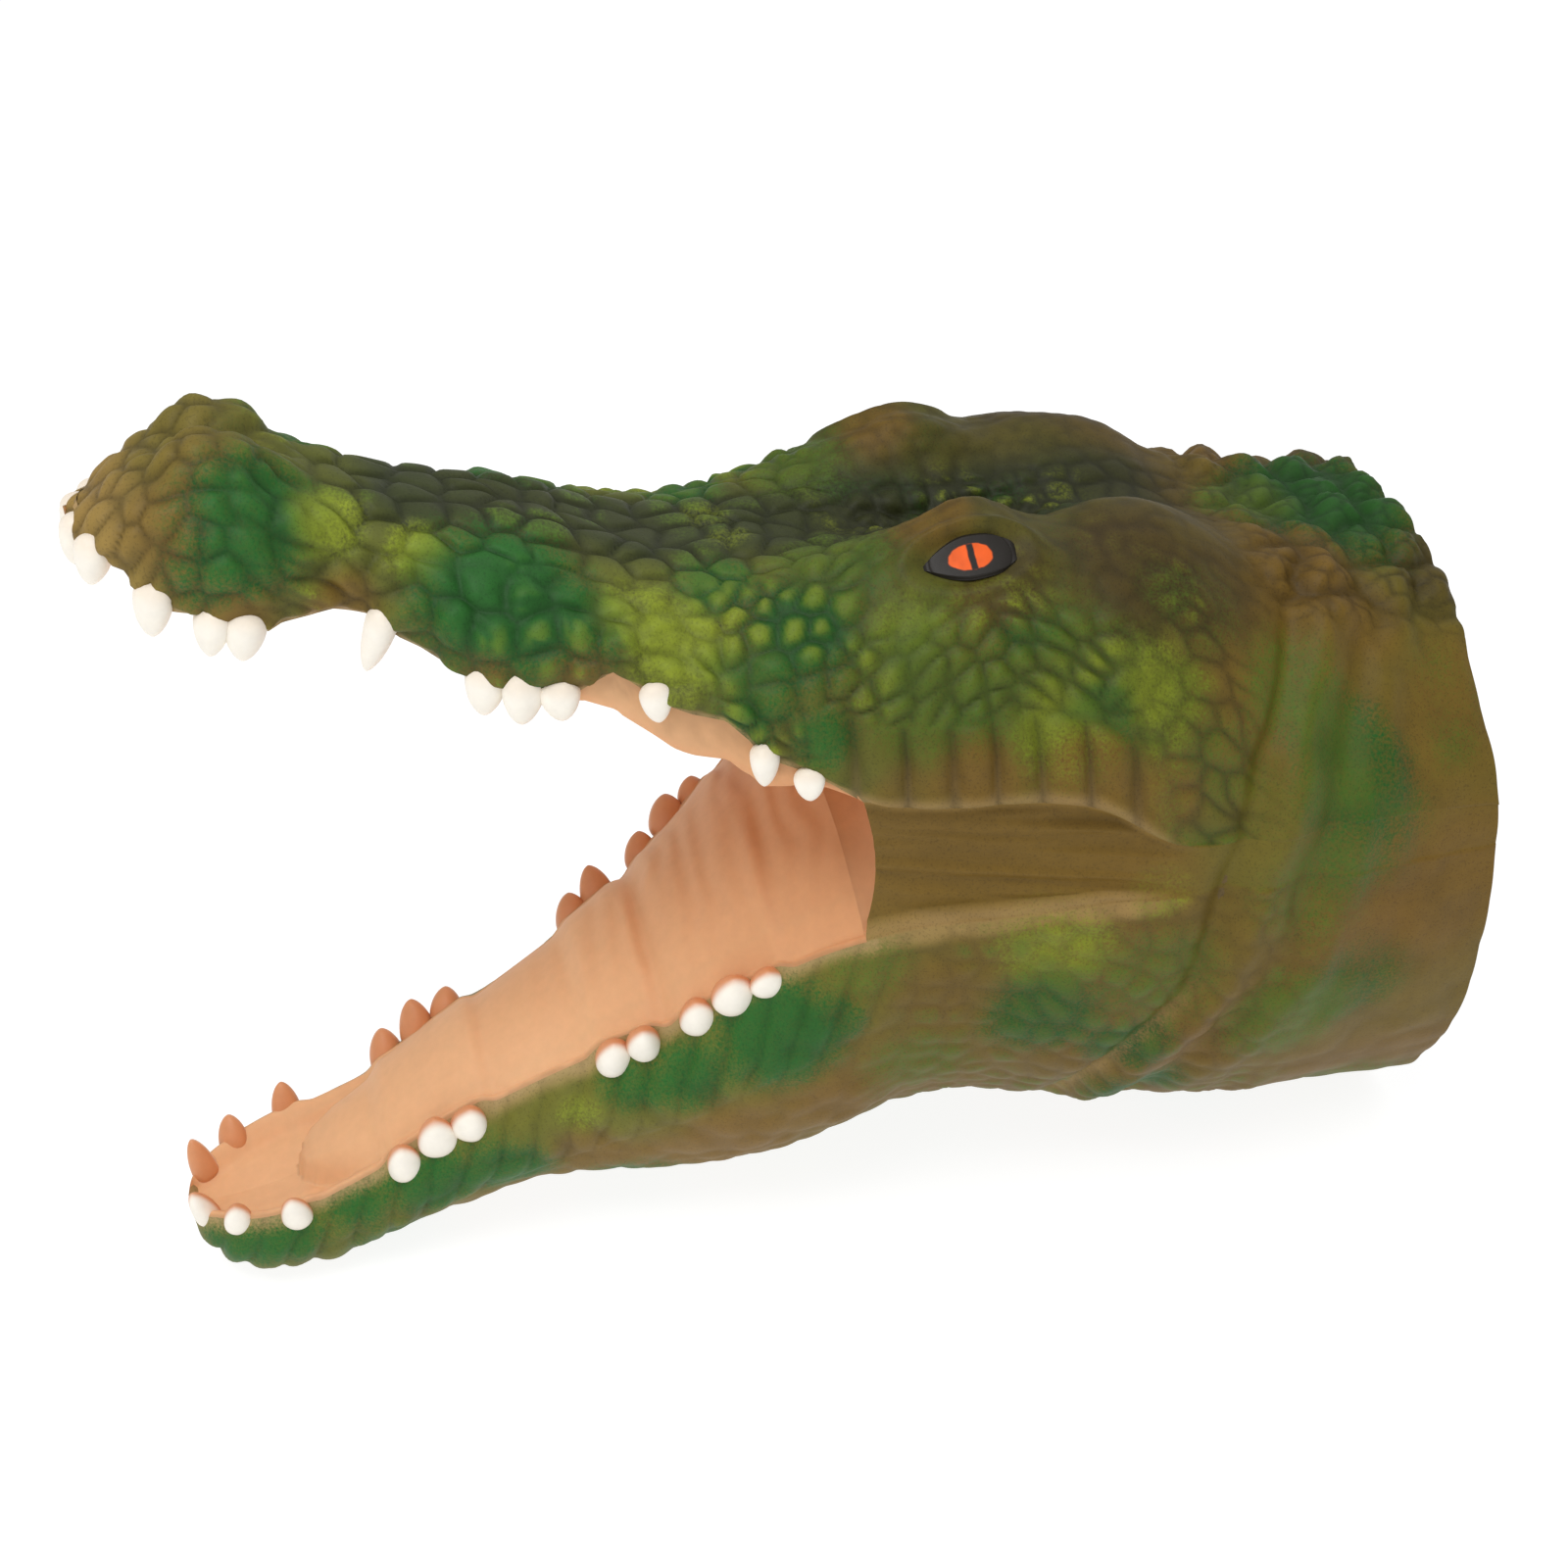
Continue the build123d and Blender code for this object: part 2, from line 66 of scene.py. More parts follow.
# ------------------------------------------------------------ section tables
# Station: (t, y, right half of the section from the middle to the lip, as x, z), in mm.
UPPER = [
    (-121.6, -119.6, None, 0.0),
    (-120.4, -119.2, None, 0.38),
    (-118.9, -118.4, None, 0.74),
    (-117.0, -117.0, [(0, 171.5), (4, 171.5), (7, 170.6), (9, 169.2), (10, 167.6), (9.7, 166.4), (8.6, 165.6)]),
    (-110.0, -110.0, [(0, 176), (6, 176), (11, 174), (14.5, 170.8), (16, 167.4), (15.6, 164.6), (14.4, 162.6)]),
    (-103.0, -103.0, [(0, 179.4), (7, 179.9), (13, 177.4), (17.5, 172.4), (19.5, 166.5), (19.5, 160.5), (18.3, 156)]),
    (-94.0, -94.0, [(0, 179.8), (8, 180.3), (14.5, 177.3), (19, 171.5), (21.5, 164.8), (21.5, 158), (20, 152.5)]),
    (-85.0, -85.0, [(0, 175.9), (7, 175.9), (13, 172.9), (17, 168.2), (19.5, 162.7), (19.5, 156), (18, 151)]),
    (-76.0, -76.0, [(0, 170.8), (6, 170.8), (11.5, 168.3), (15, 164.8), (17.5, 160), (18, 154.5), (16.5, 150)]),
    (-64.0, -64.0, [(0, 165.3), (7, 165.3), (13, 162.8), (18, 158.8), (21.5, 153.5), (23, 148), (21.5, 143.5)]),
    (-52.0, -52.0, [(0, 161), (8, 161), (15, 158), (21, 152.9), (25.5, 146.6), (27.5, 140.5), (26, 135)]),
    (-40.0, -40.0, [(0, 156.2), (9, 156.7), (17, 153.7), (23.5, 149), (28.5, 144.2), (30.5, 139.5), (29.5, 136)]),
    (-28.0, -28.0, [(0, 150.3), (9, 150.8), (18, 148.8), (26, 145.5), (31.3, 140.8), (33.6, 137), (33.2, 133.6)]),
    (-16.0, -16.0, [(0, 146.9), (10, 147.4), (20, 145.4), (29, 141.4), (35.3, 135), (38.3, 129), (37.9, 124.3)]),
    (-6.0, -6.0, [(0, 146.3), (10, 147), (21, 145.8), (31, 141.2), (38, 133.1), (41.4, 124), (41.2, 117)]),
    (6.0, 6.0, [(0, 143.8), (10, 145.8), (21, 147.8), (33, 141.7), (41, 130.6), (44.5, 120), (44, 111)]),
    (20.0, 20.0, [(0, 141), (9, 146), (19, 152), (33, 144.3), (43, 130.7), (47.5, 119), (47.5, 109)]),
    (34.0, 34.0, [(0, 138.4), (9, 145.4), (18, 154.9), (31, 147.9), (44, 130.5), (50, 119), (51, 109.5)]),
    (47.0, 47.0, [(0, 138.7), (9, 143.2), (17, 148.2), (31, 146.4), (45, 130.8), (52, 118), (53.5, 106.5)]),
    (60.0, 60.0, [(0, 139.8), (9, 145.1), (18, 149.8), (32, 145.3), (46, 130.4), (54, 112), (56, 97)]),
    (70.0, 70.0, [(0, 138.9), (10, 143.5), (20, 147.2), (33, 141.7), (47, 124.1), (55, 103), (56.5, 95.5)]),
    (84.0, 84.0, [(0, 133.9), (11, 136), (22, 136.2), (37, 127.2), (48, 112.6), (54.4, 100.5), (55.8, 95)]),
    (97.0, 97.0, [(0, 132.3), (10.5, 133.1), (21, 131.8), (36, 123.8), (47.3, 109.9), (53.8, 99.5), (55.2, 94.5)]),
    (110.0, 110.0, [(0, 131), (10, 131), (20, 129), (34.5, 120.5), (46, 107), (52.8, 97.5), (54.2, 93)]),
    (124.0, 124.0, [(0, 129.5), (9.5, 129), (19, 126.5), (33, 118), (45, 104.5), (51.7, 95), (53.3, 91)]),
]
LOWER = [
    (-131.4, -129.6, None, 0.0),
    (-130.6, -129.3, None, 0.4),
    (-129.5, -128.8, None, 0.78),
    (-128.0, -128.0, [(0, 10), (3, 10.2), (5.5, 11), (7, 12.5), (7.5, 14), (7.5, 15.2), (7, 16.2)]),
    (-121.0, -121.0, [(0, 3.3), (4, 3.6), (8, 4.8), (11, 7.6), (12.8, 10.8), (13.2, 14.1), (12.3, 17.3)]),
    (-112.0, -112.0, [(0, 1.1), (5, 1.3), (10, 2.8), (14, 6.6), (16.6, 10.8), (17, 14.9), (15.8, 18.8)]),
    (-100.0, -100.0, [(0, 1.9), (6, 2.2), (12, 4.4), (16, 9.3), (18, 14.2), (18, 18.8), (15.6, 22.5)]),
    (-86.0, -86.0, [(0, 4.8), (6, 5.1), (12, 7.3), (16.6, 12), (19, 17.9), (18.9, 23.7), (15.4, 28)]),
    (-72.0, -72.0, [(0, 8.1), (7, 8.4), (13.2, 11.1), (18, 16.9), (20.4, 24.1), (20.2, 31), (16.6, 35.8)]),
    (-58.0, -58.0, [(0, 12), (8, 12.3), (14.8, 15), (20, 21.6), (22.8, 30), (22.5, 37.7), (18.6, 42.6)]),
    (-44.0, -44.0, [(0, 12.3), (9, 12.8), (17, 15.8), (23.2, 23.4), (26.4, 33.7), (26.2, 43.1), (21.6, 49.2)]),
    (-30.0, -30.0, [(0, 9.6), (9, 10.1), (18, 13.6), (25.6, 22.5), (30.4, 34.6), (30.8, 47), (26, 56.2)]),
    (-16.0, -16.0, [(0, 9.4), (10, 10), (20, 13.9), (28.8, 24.1), (35, 38.4), (36.2, 53), (31.2, 65.3)]),
    (-2.0, -2.0, [(0, 13.3), (11, 14), (22, 18.3), (32, 29.2), (38.3, 44.1), (40.6, 59.8), (38.6, 75.6)]),
    (12.0, 12.0, [(0, 18), (12, 19), (23, 24), (33, 34), (40, 48), (43.5, 64), (45, 82)]),
    (30.0, 30.0, [(0, 18), (13, 19), (25, 24), (36, 35), (44, 49), (48.5, 65), (50, 84)]),
    (48.0, 48.0, [(0, 12), (14, 13), (27, 19), (39, 31), (48, 47), (53, 66), (54.5, 86)]),
    (70.0, 70.0, [(0, 6.6), (14, 7.6), (28, 14.5), (41, 28.5), (50.5, 47), (55.6, 67), (56.6, 86.5)]),
    (84.0, 84.0, [(0, 4.5), (14, 5.8), (28, 12), (41, 25.5), (51.2, 44.5), (55.8, 66), (56.2, 86)]),
    (97.0, 97.0, [(0, 3), (14, 4), (28, 10), (41, 24), (51, 43.5), (55.7, 65.5), (55.8, 85)]),
    (110.0, 110.0, [(0, 1.5), (14, 2.4), (28.5, 9), (41, 23.5), (51, 43.5), (55.2, 65.5), (55.1, 84)]),
    (124.0, 124.0, [(0, 0.8), (14, 1.3), (28.5, 8.2), (41, 23), (50.6, 43), (54.5, 65), (54.3, 83)]),
]
# Height of the upper lip's scalloped edge along y.
LIP = np.array([(-119, 166.5), (-113.2, 165.5), (-110.5, 163.0), (-108.8, 159.6), (-104.8, 156.6), (-101.8, 156.3), (-99.2, 154.2),
                (-93.4, 152.4), (-90.2, 150.9), (-87.5, 151.9), (-83.1, 151.8), (-78.8, 151.9), (-73.4, 150.2), (-69.0, 145.8),
                (-65.6, 144.0), (-61.9, 141.0), (-58.2, 138.2), (-49.2, 135.8), (-41.4, 134.6), (-37.8, 136.8), (-34.5, 138.8),
                (-30.6, 135.6), (-25.8, 131.6), (-22.4, 130.2), (-17.0, 129.0), (-13.4, 125.0), (-11.4, 121.6), (-4.8, 118.6),
                (0, 115.4), (5, 111.4), (9, 110.8)])
CORNER = 5.0                  # where the mouth's corner is, in table y
REAR = 124.0                  # cut rim
STEP = 0.85                   # row spacing
NU, NL, NW = 264, 232, 60     # columns of the upper, lower and cheek grids
HINGE = np.array([30.0, 94.0])      # mouth axis in table y, z


# ------------------------------------------------------------------ helpers
def hermite(t, p, q):
    """Cubic through points p at knots t (centred slopes), at values q."""
    t = np.asarray(t, float); p = np.asarray(p, float); q = np.asarray(q, float)
    d = np.diff(p, axis=0) / np.diff(t).reshape((-1,) + (1,) * (p.ndim - 1))
    h = np.diff(t).reshape((-1,) + (1,) * (p.ndim - 1))
    m = np.empty_like(p)
    m[0], m[-1] = d[0], d[-1]
    m[1:-1] = (d[:-1] * h[1:] + d[1:] * h[:-1]) / (h[:-1] + h[1:])
    i = np.clip(np.searchsorted(t, q) - 1, 0, len(t) - 2)
    k = ((q - t[i]) / (t[i + 1] - t[i])).reshape((-1,) + (1,) * (p.ndim - 1))
    hh = (t[i + 1] - t[i]).reshape((-1,) + (1,) * (p.ndim - 1))
    return ((2 * k ** 3 - 3 * k ** 2 + 1) * p[i] + (k ** 3 - 2 * k ** 2 + k) * hh * m[i]
            + (-2 * k ** 3 + 3 * k ** 2) * p[i + 1] + (k ** 3 - k ** 2) * hh * m[i + 1])


def stations(table):
    """Knots and (n, 7, 3) control points, with the capped tips filled in."""
    first = next(s for s in table if s[2] is not None)
    c = np.mean(np.array(first[2], float), axis=0); c[0] = 0.0
    if table is LOWER:
        c[1] = first[2][-1][1]
    ts, pts = [], []
    for s in table:
        half = np.array(first[2] if s[2] is None else s[2], float)
        if s[2] is None:
            half = c + (half - c) * s[3]
        ts.append(s[0])
        pts.append(np.column_stack([half[:, 0], np.full(len(half), s[1]), half[:, 1]]))
    return np.array(ts), np.array(pts)


def smooth_rows(c, t, sigma):
    """Gaussian along the rows of control curves c at parameters t, ends kept."""
    w = np.exp(-0.5 * ((t[:, None] - t[None, :]) / sigma) ** 2)
    w *= np.gradient(t)[None, :]
    w /= w.sum(1, keepdims=True)
    out = np.tensordot(w, c, axes=(1, 0))
    edge = np.clip(np.minimum(t - t[0], t[-1] - t) / (2.5 * sigma), 0, 1)[:, None, None]
    return c * (1 - edge) + out * edge


def grid_from(table, columns, split, rear):
    """(rows, columns, 3) grid from right lip... left lip, rows at STEP before split and at fixed y after it."""
    ts, pts = stations(table)
    fine = np.linspace(ts[0], split, 4000)
    c = hermite(ts, pts, fine)
    move = np.abs(np.linalg.norm(np.diff(c, axis=0), axis=2)).max(1)
    s = np.concatenate([[0], np.cumsum(move)])
    n = int(round(s[-1] / STEP))
    tf = np.interp(np.linspace(0, s[-1], n + 1), s, fine)[:-1]
    tr = np.arange(split, rear + 1e-6, (rear - split) / round((rear - split) / STEP))
    t = np.concatenate([tf, tr])
    ctrl = hermite(ts, pts, t)
    ctrl = smooth_rows(ctrl, t, 2.2)
    rows = []
    for r in ctrl:
        full = np.concatenate([r[:0:-1] * np.array([-1, 1, 1]), r])
        ch = np.concatenate([[0], np.cumsum(np.maximum(np.linalg.norm(np.diff(full, axis=0), axis=1), 1e-4))])
        q = np.linspace(0, ch[-1], 260)
        cur = hermite(ch, full, q)
        ln = np.concatenate([[0], np.cumsum(np.linalg.norm(np.diff(cur, axis=0), axis=1))])
        if ln[-1] < 1e-6:
            rows.append(np.repeat(full[:1], columns, axis=0)); continue
        u = np.interp(np.linspace(0, ln[-1], columns), ln, q)
        rows.append(hermite(ch, full, u))
    return t, np.array(rows), len(tf)


def smoothstep(a, b, x):
    k = np.clip((np.asarray(x, float) - a) / (b - a), 0, 1)
    return k * k * (3 - 2 * k)


def bell(d, r):
    """Smooth bump, 1 at 0 and 0 at r."""
    k = np.clip(1 - (np.asarray(d) / r) ** 2, 0, 1)
    return k * k * (3 - 2 * k)


def normals(v, f):
    """Vertex normals of quads."""
    a, b, c, d = (v[f[:, i]] for i in range(4))
    n = np.cross(c - a, d - b)
    out = np.zeros_like(v)
    for i in range(4):
        np.add.at(out, f[:, i], n)
    ln = np.linalg.norm(out, axis=1, keepdims=True)
    return out / np.maximum(ln, 1e-9)


def grid_faces(ix):
    """Quads of an index grid."""
    a, b, c, d = ix[:-1, :-1], ix[:-1, 1:], ix[1:, 1:], ix[1:, :-1]
    return np.stack([a, b, c, d], -1).reshape(-1, 4)


def hash3(i, j, k, seed):
    n = (i.astype(np.int64) * 374761393 + j.astype(np.int64) * 668265263 + k.astype(np.int64) * 2147483647
         + seed * 974711) & 0xFFFFFFFF
    n = ((n ^ (n >> 13)) * 1274126177) & 0xFFFFFFFF
    n = (n ^ (n >> 16)) & 0xFFFFFFFF
    return n


def worley2(p, seed, jitter=0.75):
    """Distance to the nearest and second nearest cell point, and the cell's id, for 2-D points."""
    base = np.floor(p).astype(np.int64)
    f1 = np.full(len(p), 9.0); f2 = np.full(len(p), 9.0); cid = np.zeros(len(p), np.int64)
    zero = np.zeros(len(p), np.int64)
    for i in (-1, 0, 1):
        for j in (-1, 0, 1):
            c = base + (i, j)
            h = hash3(c[:, 0], c[:, 1], zero, seed)
            px = c[:, 0] + 0.5 + jitter * (((h & 0xFFFF) / 65535.0) - 0.5)
            py = c[:, 1] + 0.5 + jitter * ((((h >> 16) & 0xFFFF) / 65535.0) - 0.5)
            d = np.hypot(p[:, 0] - px, p[:, 1] - py)
            near = d < f1
            f2 = np.where(near, f1, np.minimum(f2, d))
            cid = np.where(near, h, cid)
            f1 = np.where(near, d, f1)
    return f1, f2, cid


def soft2(p, seed, jitter=0.75, k=9.0):
    """Round bumps that run softly into each other: about 1 on a bump, 0 between."""
    base = np.floor(p).astype(np.int64)
    acc = np.zeros(len(p))
    zero = np.zeros(len(p), np.int64)
    for i in (-1, 0, 1):
        for j in (-1, 0, 1):
            c = base + (i, j)
            h = hash3(c[:, 0], c[:, 1], zero, seed)
            px = c[:, 0] + 0.5 + jitter * (((h & 0xFFFF) / 65535.0) - 0.5)
            py = c[:, 1] + 0.5 + jitter * ((((h >> 16) & 0xFFFF) / 65535.0) - 0.5)
            size = 0.75 + 0.5 * (((h >> 5) & 0xFF) / 255.0)
            acc += np.exp(-k * ((p[:, 0] - px) ** 2 + (p[:, 1] - py) ** 2) / size)
    return np.clip(1 + np.log(acc + 1e-9) / k * 2.6, 0, 1.1)


def noise3(p, seed):
    """Value noise in 3-D, -1..1."""
    b = np.floor(p).astype(np.int64)
    f = p - b
    f = f * f * (3 - 2 * f)
    out = np.zeros(len(p))
    for i in (0, 1):
        for j in (0, 1):
            for k in (0, 1):
                h = hash3(b[:, 0] + i, b[:, 1] + j, b[:, 2] + k, seed) / 4294967295.0 * 2 - 1
                w = (f[:, 0] if i else 1 - f[:, 0]) * (f[:, 1] if j else 1 - f[:, 1]) * (f[:, 2] if k else 1 - f[:, 2])
                out += h * w
    return out


def pillow(f1, f2, edge=0.35):
    """Rounded plate between grooves."""
    k = np.clip((f2 - f1) / edge, 0, 1)
    return 1 - (1 - k) ** 2


# --------------------------------------------------------------- base skin
tU, U, kU = grid_from(UPPER, NU, CORNER, REAR)
tL, L, kL = grid_from(LOWER, NL, CORNER, REAR)
nR = len(tU) - kU
assert nR == len(tL) - kL
for r in range(len(tU)):
    y0 = U[r, -1, 1]
    if y0 < 9.0 and tU[r] > -117.0:
        dz = np.interp(y0, LIP[:, 0], LIP[:, 1]) - U[r, -1, 2]
        arc = np.concatenate([[0], np.cumsum(np.linalg.norm(np.diff(U[r], axis=0), axis=1))])
        ends = np.minimum(arc, arc[-1] - arc)
        ease = smoothstep(-117.0, -115.0, tU[r]) * (1 - smoothstep(5.0, 9.0, y0))
        U[r, :, 2] += dz * ease * (1 - smoothstep(0.0, 13.0, ends))
yR = tU[kU:]

# The lower lip stands up in a ridge along each group of teeth.
for r in range(len(tL)):
    y0 = L[r, -1, 1]
    up_ = 0.0
    for a_, b_, hh_ in ((-130, -104, 1.2), (-89, -67, 2.0), (-46, -33, 2.0), (-29, -9, 2.0)):
        up_ = max(up_, hh_ * float(smoothstep(a_ - 2, a_ + 2, y0) * (1 - smoothstep(b_ - 2, b_ + 2, y0))))
    arc = np.concatenate([[0], np.cumsum(np.linalg.norm(np.diff(L[r], axis=0), axis=1))])
    ends = np.minimum(arc, arc[-1] - arc)
    L[r, :, 2] += up_ * (1 - smoothstep(0.0, 6.0, ends)) * float(smoothstep(-128, -124, tL[r]))

# Cheek and side band between the two grids, behind the mouth's corner.
s = np.linspace(0, 1, NW + 1)
s = 0.5 - 0.5 * np.cos(math.pi * s) * (0.55 + 0.45 * np.abs(np.cos(math.pi * s)))   # finer near both folds
s = (s - s[0]) / (s[-1] - s[0])


def band(side):
    """side +1 uses the last column, -1 the first."""
    a = U[kU:, -1 if side > 0 else 0]
    b = L[kL:, -1 if side > 0 else 0]
    g = a[:, None] * (1 - s)[None, :, None] + b[:, None] * s[None, :, None]
    fade = 1 - smoothstep(44, 66, yR)
    tuck = 3.2 * np.minimum(1, np.minimum(s, 1 - s) / 0.10) ** 0.6     # quick step in under each fold
    bulge = 0.8 * np.sin(math.pi * s)
    g[:, :, 0] -= side * fade[:, None] * (tuck - bulge)[None, :]
    tail = smoothstep(60, 72, yR)
    g[:, :, 0] += side * tail[:, None] * 0.35 * np.sin(math.pi * s)[None, :]
    front = 1 - smoothstep(0, 22, yR - CORNER)
    g[:, :, 1] += front[:, None] * (2.6 * np.sin(math.pi * s) ** 0.8)[None, :]
    return g


WR, WL = band(1), band(-1)
nu, nl = U.shape[0] * NU, L.shape[0] * NL
iU = np.arange(nu).reshape(U.shape[0], NU)
iL = nu + np.arange(nl).reshape(L.shape[0], NL)
inner = nR * (NW - 1)
iW = {}
for k, side in enumerate((1, -1)):
    mid = nu + nl + k * inner + np.arange(inner).reshape(nR, NW - 1)
    col = -1 if side > 0 else 0
    iW[side] = np.concatenate([iU[kU:, col][:, None], mid, iL[kL:, col][:, None]], axis=1)
V = np.concatenate([U.reshape(-1, 3), L.reshape(-1, 3), WR[:, 1:-1].reshape(-1, 3), WL[:, 1:-1].reshape(-1, 3)])
fU = grid_faces(iU)                 # outward by construction below
fL = grid_faces(iL)[:, ::-1]
fWR = grid_faces(iW[1])
fWL = grid_faces(iW[-1])[:, ::-1]
F = np.concatenate([fU, fL, fWR, fWL])
region = np.concatenate([np.full(len(fU), 0), np.full(len(fL), 1), np.full(len(fWR), 2), np.full(len(fWL), 3)])
N0 = normals(V, F)
if N0[iU[len(tU) // 2, NU // 2], 2] < 0:
    F = F[:, ::-1]
    N0 = -N0


def relax(v, weight, rounds):
    """Laplacian smoothing along quad edges, by a weight per vertex."""
    e = np.concatenate([F[:, [0, 1]], F[:, [1, 2]], F[:, [2, 3]], F[:, [3, 0]]])
    cnt = np.zeros(len(v)); np.add.at(cnt, e[:, 0], 1); np.add.at(cnt, e[:, 1], 1)
    for _ in range(rounds):
        acc = np.zeros_like(v)
        np.add.at(acc, e[:, 0], v[e[:, 1]]); np.add.at(acc, e[:, 1], v[e[:, 0]])
        v = v + weight[:, None] * (acc / cnt[:, None] - v)
    return v


w_relax = smoothstep(52, 66, V[:, 1]) * (V[:, 1] < REAR - 0.5)
V = relax(V, w_relax * 0.8, 14)
N0 = normals(V, F)
for ix in (iU, iL):
    m_ = N0[ix[1]].mean(0); N0[ix[0]] = m_ / np.linalg.norm(m_)

# ------------------------------------------------- surface coordinates, in mm
nV = len(V)
SS = np.zeros(nV); TT = np.zeros(nV); LP = np.zeros(nV); KIND = np.zeros(nV, int); SV = np.zeros(nV)


def arc_coords(G, t, ix, kind):
    ln = np.linalg.norm(np.diff(G, axis=1), axis=2).sum(1)
    n = G.shape[1]
    T = (np.linspace(0, 1, n) - 0.5)[None, :] * ln[:, None]
    SS[ix] = t[:, None] + 0 * T
    TT[ix] = T
    LP[ix] = ln[:, None] / 2 - np.abs(T)
    KIND[ix] = kind


arc_coords(U, tU, iU, 0)
arc_coords(L, tL, iL, 1)
for side in (1, -1):
    m = iW[side][:, 1:-1]
    SS[m] = yR[:, None] + 0 * m
    TT[m] = side * (60 + 30 * s[None, 1:-1]) + 0 * m
    LP[m] = np.minimum(s, 1 - s)[None, 1:-1] * 25 + 0 * m
    KIND[m] = 2
    SV[m] = s[None, 1:-1] + 0 * m
side_sign = np.sign(V[:, 0])
up, lo, web = KIND == 0, KIND == 1, KIND == 2


def cell(sx, sy, seed, jitter=0.75, edge=0.35, across=None):
    """Plates with narrow grooves: (height 0..1, groove 0..1)."""
    a = TT if across is None else across
    warp = 0.22 * noise3(V / 7.0, seed + 50)
    f1, f2, cid = worley2(np.column_stack([SS / sx + warp, a / sy - warp]), seed, jitter)
    dome = np.clip(1 - (f1 / 0.8) ** 2, 0, 1)
    vary = 0.75 + 0.5 * ((cid >> 8) % 1000) / 1000.0
    return pillow(f1, f2, edge) * (0.35 + 0.65 * dome) * vary, np.clip((f2 - f1) / 0.28, 0, 1)


def bumps(sx, sy, seed, jitter=0.8, k=9.0, across=None):
    """Soft round bumps: (height 0..1, groove 0..1)."""
    a = TT if across is None else across
    warp = 0.25 * noise3(V / 8.0, seed + 50)
    b = soft2(np.column_stack([SS / sx + warp, a / sy - warp]), seed, jitter, k)
    return b, np.ones(nV)


h = np.zeros(nV)              # raised detail, mm
groove = np.ones(nV)          # 0 in a groove, 1 on a plate
tops = np.ones(nV)            # 0 low, 1 on top of a scale
aT = np.abs(TT)


def add_cells(weight, amp, c):
    global h, groove, tops
    plate, g = c
    tops = tops * (1 - weight) + np.minimum(tops, np.clip(plate, 0, 1)) * weight
    h = h + weight * amp * plate
    groove = groove * (1 - weight) + np.minimum(groove, g) * weight


# Upper skin.
brow = smoothstep(8, 18, SS) * (1 - smoothstep(80, 92, SS)) * smoothstep(7, 15, aT) * (1 - smoothstep(42, 50, aT))
w_scute = up * smoothstep(-86, -74, SS) * (1 - smoothstep(8, 20, SS)) * (1 - smoothstep(15, 25, aT))
w_nose = up * (1 - smoothstep(-96, -84, SS))
w_snout = up * smoothstep(-96, -84, SS) * (1 - smoothstep(-34, -10, SS)) * (1 - w_scute)
w_row = up * smoothstep(-8, 2, SS) * (1 - smoothstep(52, 62, SS)) * (1 - smoothstep(14.5, 18, LP))
w_mid = up * smoothstep(-34, -10, SS) * (1 - smoothstep(46, 66, SS)) * (1 - 0.85 * brow) * (1 - w_row) * (1 - w_scute)
add_cells(w_nose, 1.15, cell(5.8, 5.6, 11, edge=0.85))
add_cells(w_snout, 1.7, cell(7.2, 6.8, 10, edge=0.9))
add_cells(w_snout, 0.35, bumps(3.4, 3.4, 18, k=9.0))
add_cells(w_mid, 1.5, cell(5.4, 5.0, 12, jitter=0.8, edge=0.95))
add_cells(w_scute, 1.25, cell(7.2, 6.2, 13, jitter=0.7, edge=0.42))
w_skull = up * smoothstep(6, 20, SS) * (1 - smoothstep(84, 96, SS)) * (1 - smoothstep(8, 15, aT))
add_cells(w_skull, 0.55, cell(5.6, 5.2, 14, edge=0.5))
w_nape = up * smoothstep(78, 92, SS) * (1 - smoothstep(30, 44, aT))
add_cells(w_nape, 2.9, cell(10.5, 11.0, 15, jitter=0.6, edge=0.95))
add_cells(w_nape, 0.5, cell(4.6, 4.6, 19, edge=0.5))
w_fine = up * brow
add_cells(w_fine, 0.16, bumps(3.4, 3.2, 16))
w_side = up * smoothstep(48, 68, SS) * smoothstep(30, 50, aT) * (1 - w_row) * (1 - w_nape)
add_cells(w_side * (1 - smoothstep(70, 84, SS)), 0.60, cell(6.6, 6.2, 17, edge=0.95))
add_cells(w_side * smoothstep(76, 88, SS), 0.30, bumps(9.0, 9.0, 27, k=8.0))
h -= up * 0.75 * (1 - smoothstep(60, 80, SS))
# Broad swellings over the long teeth.
for bx, by, bz, br, bh in ((24, -50, 148, 17, 1.6), (19, -92, 165, 14, 1.3), (38, -4, 130, 11, 1.0), (16, -80, 168, 8, 0.8), (30, -34, 143, 9, 0.7)):
    for sx in (1, -1):
        h += up * bh * bell(np.linalg.norm(V - (sx * bx, by, bz), axis=1), br)
# Single row of tall scales along the crease.
ph = SS / 8.0 + 0.10 * noise3(np.column_stack([SS / 11, np.zeros(nV), np.zeros(nV)]), 3)
fr = np.abs(ph - np.round(ph)) * 2                      # 0 mid-scale, 1 at a groove
row_prof = (1 - np.clip(fr, 0, 1) ** 2.4) * np.clip(1 - ((LP - 7.0) / 10.5) ** 2, 0, 1) ** 0.6
h += w_row * 2.1 * row_prof
groove = groove * (1 - w_row) + w_row * np.clip((1 - fr) / 0.30, 0, 1)
# Swelling of the upper lip edge over the cheek web.
h += up * 0.7 * np.exp(-((LP - 2.2) / 2.2) ** 2) * (1 - smoothstep(50, 62, SS))

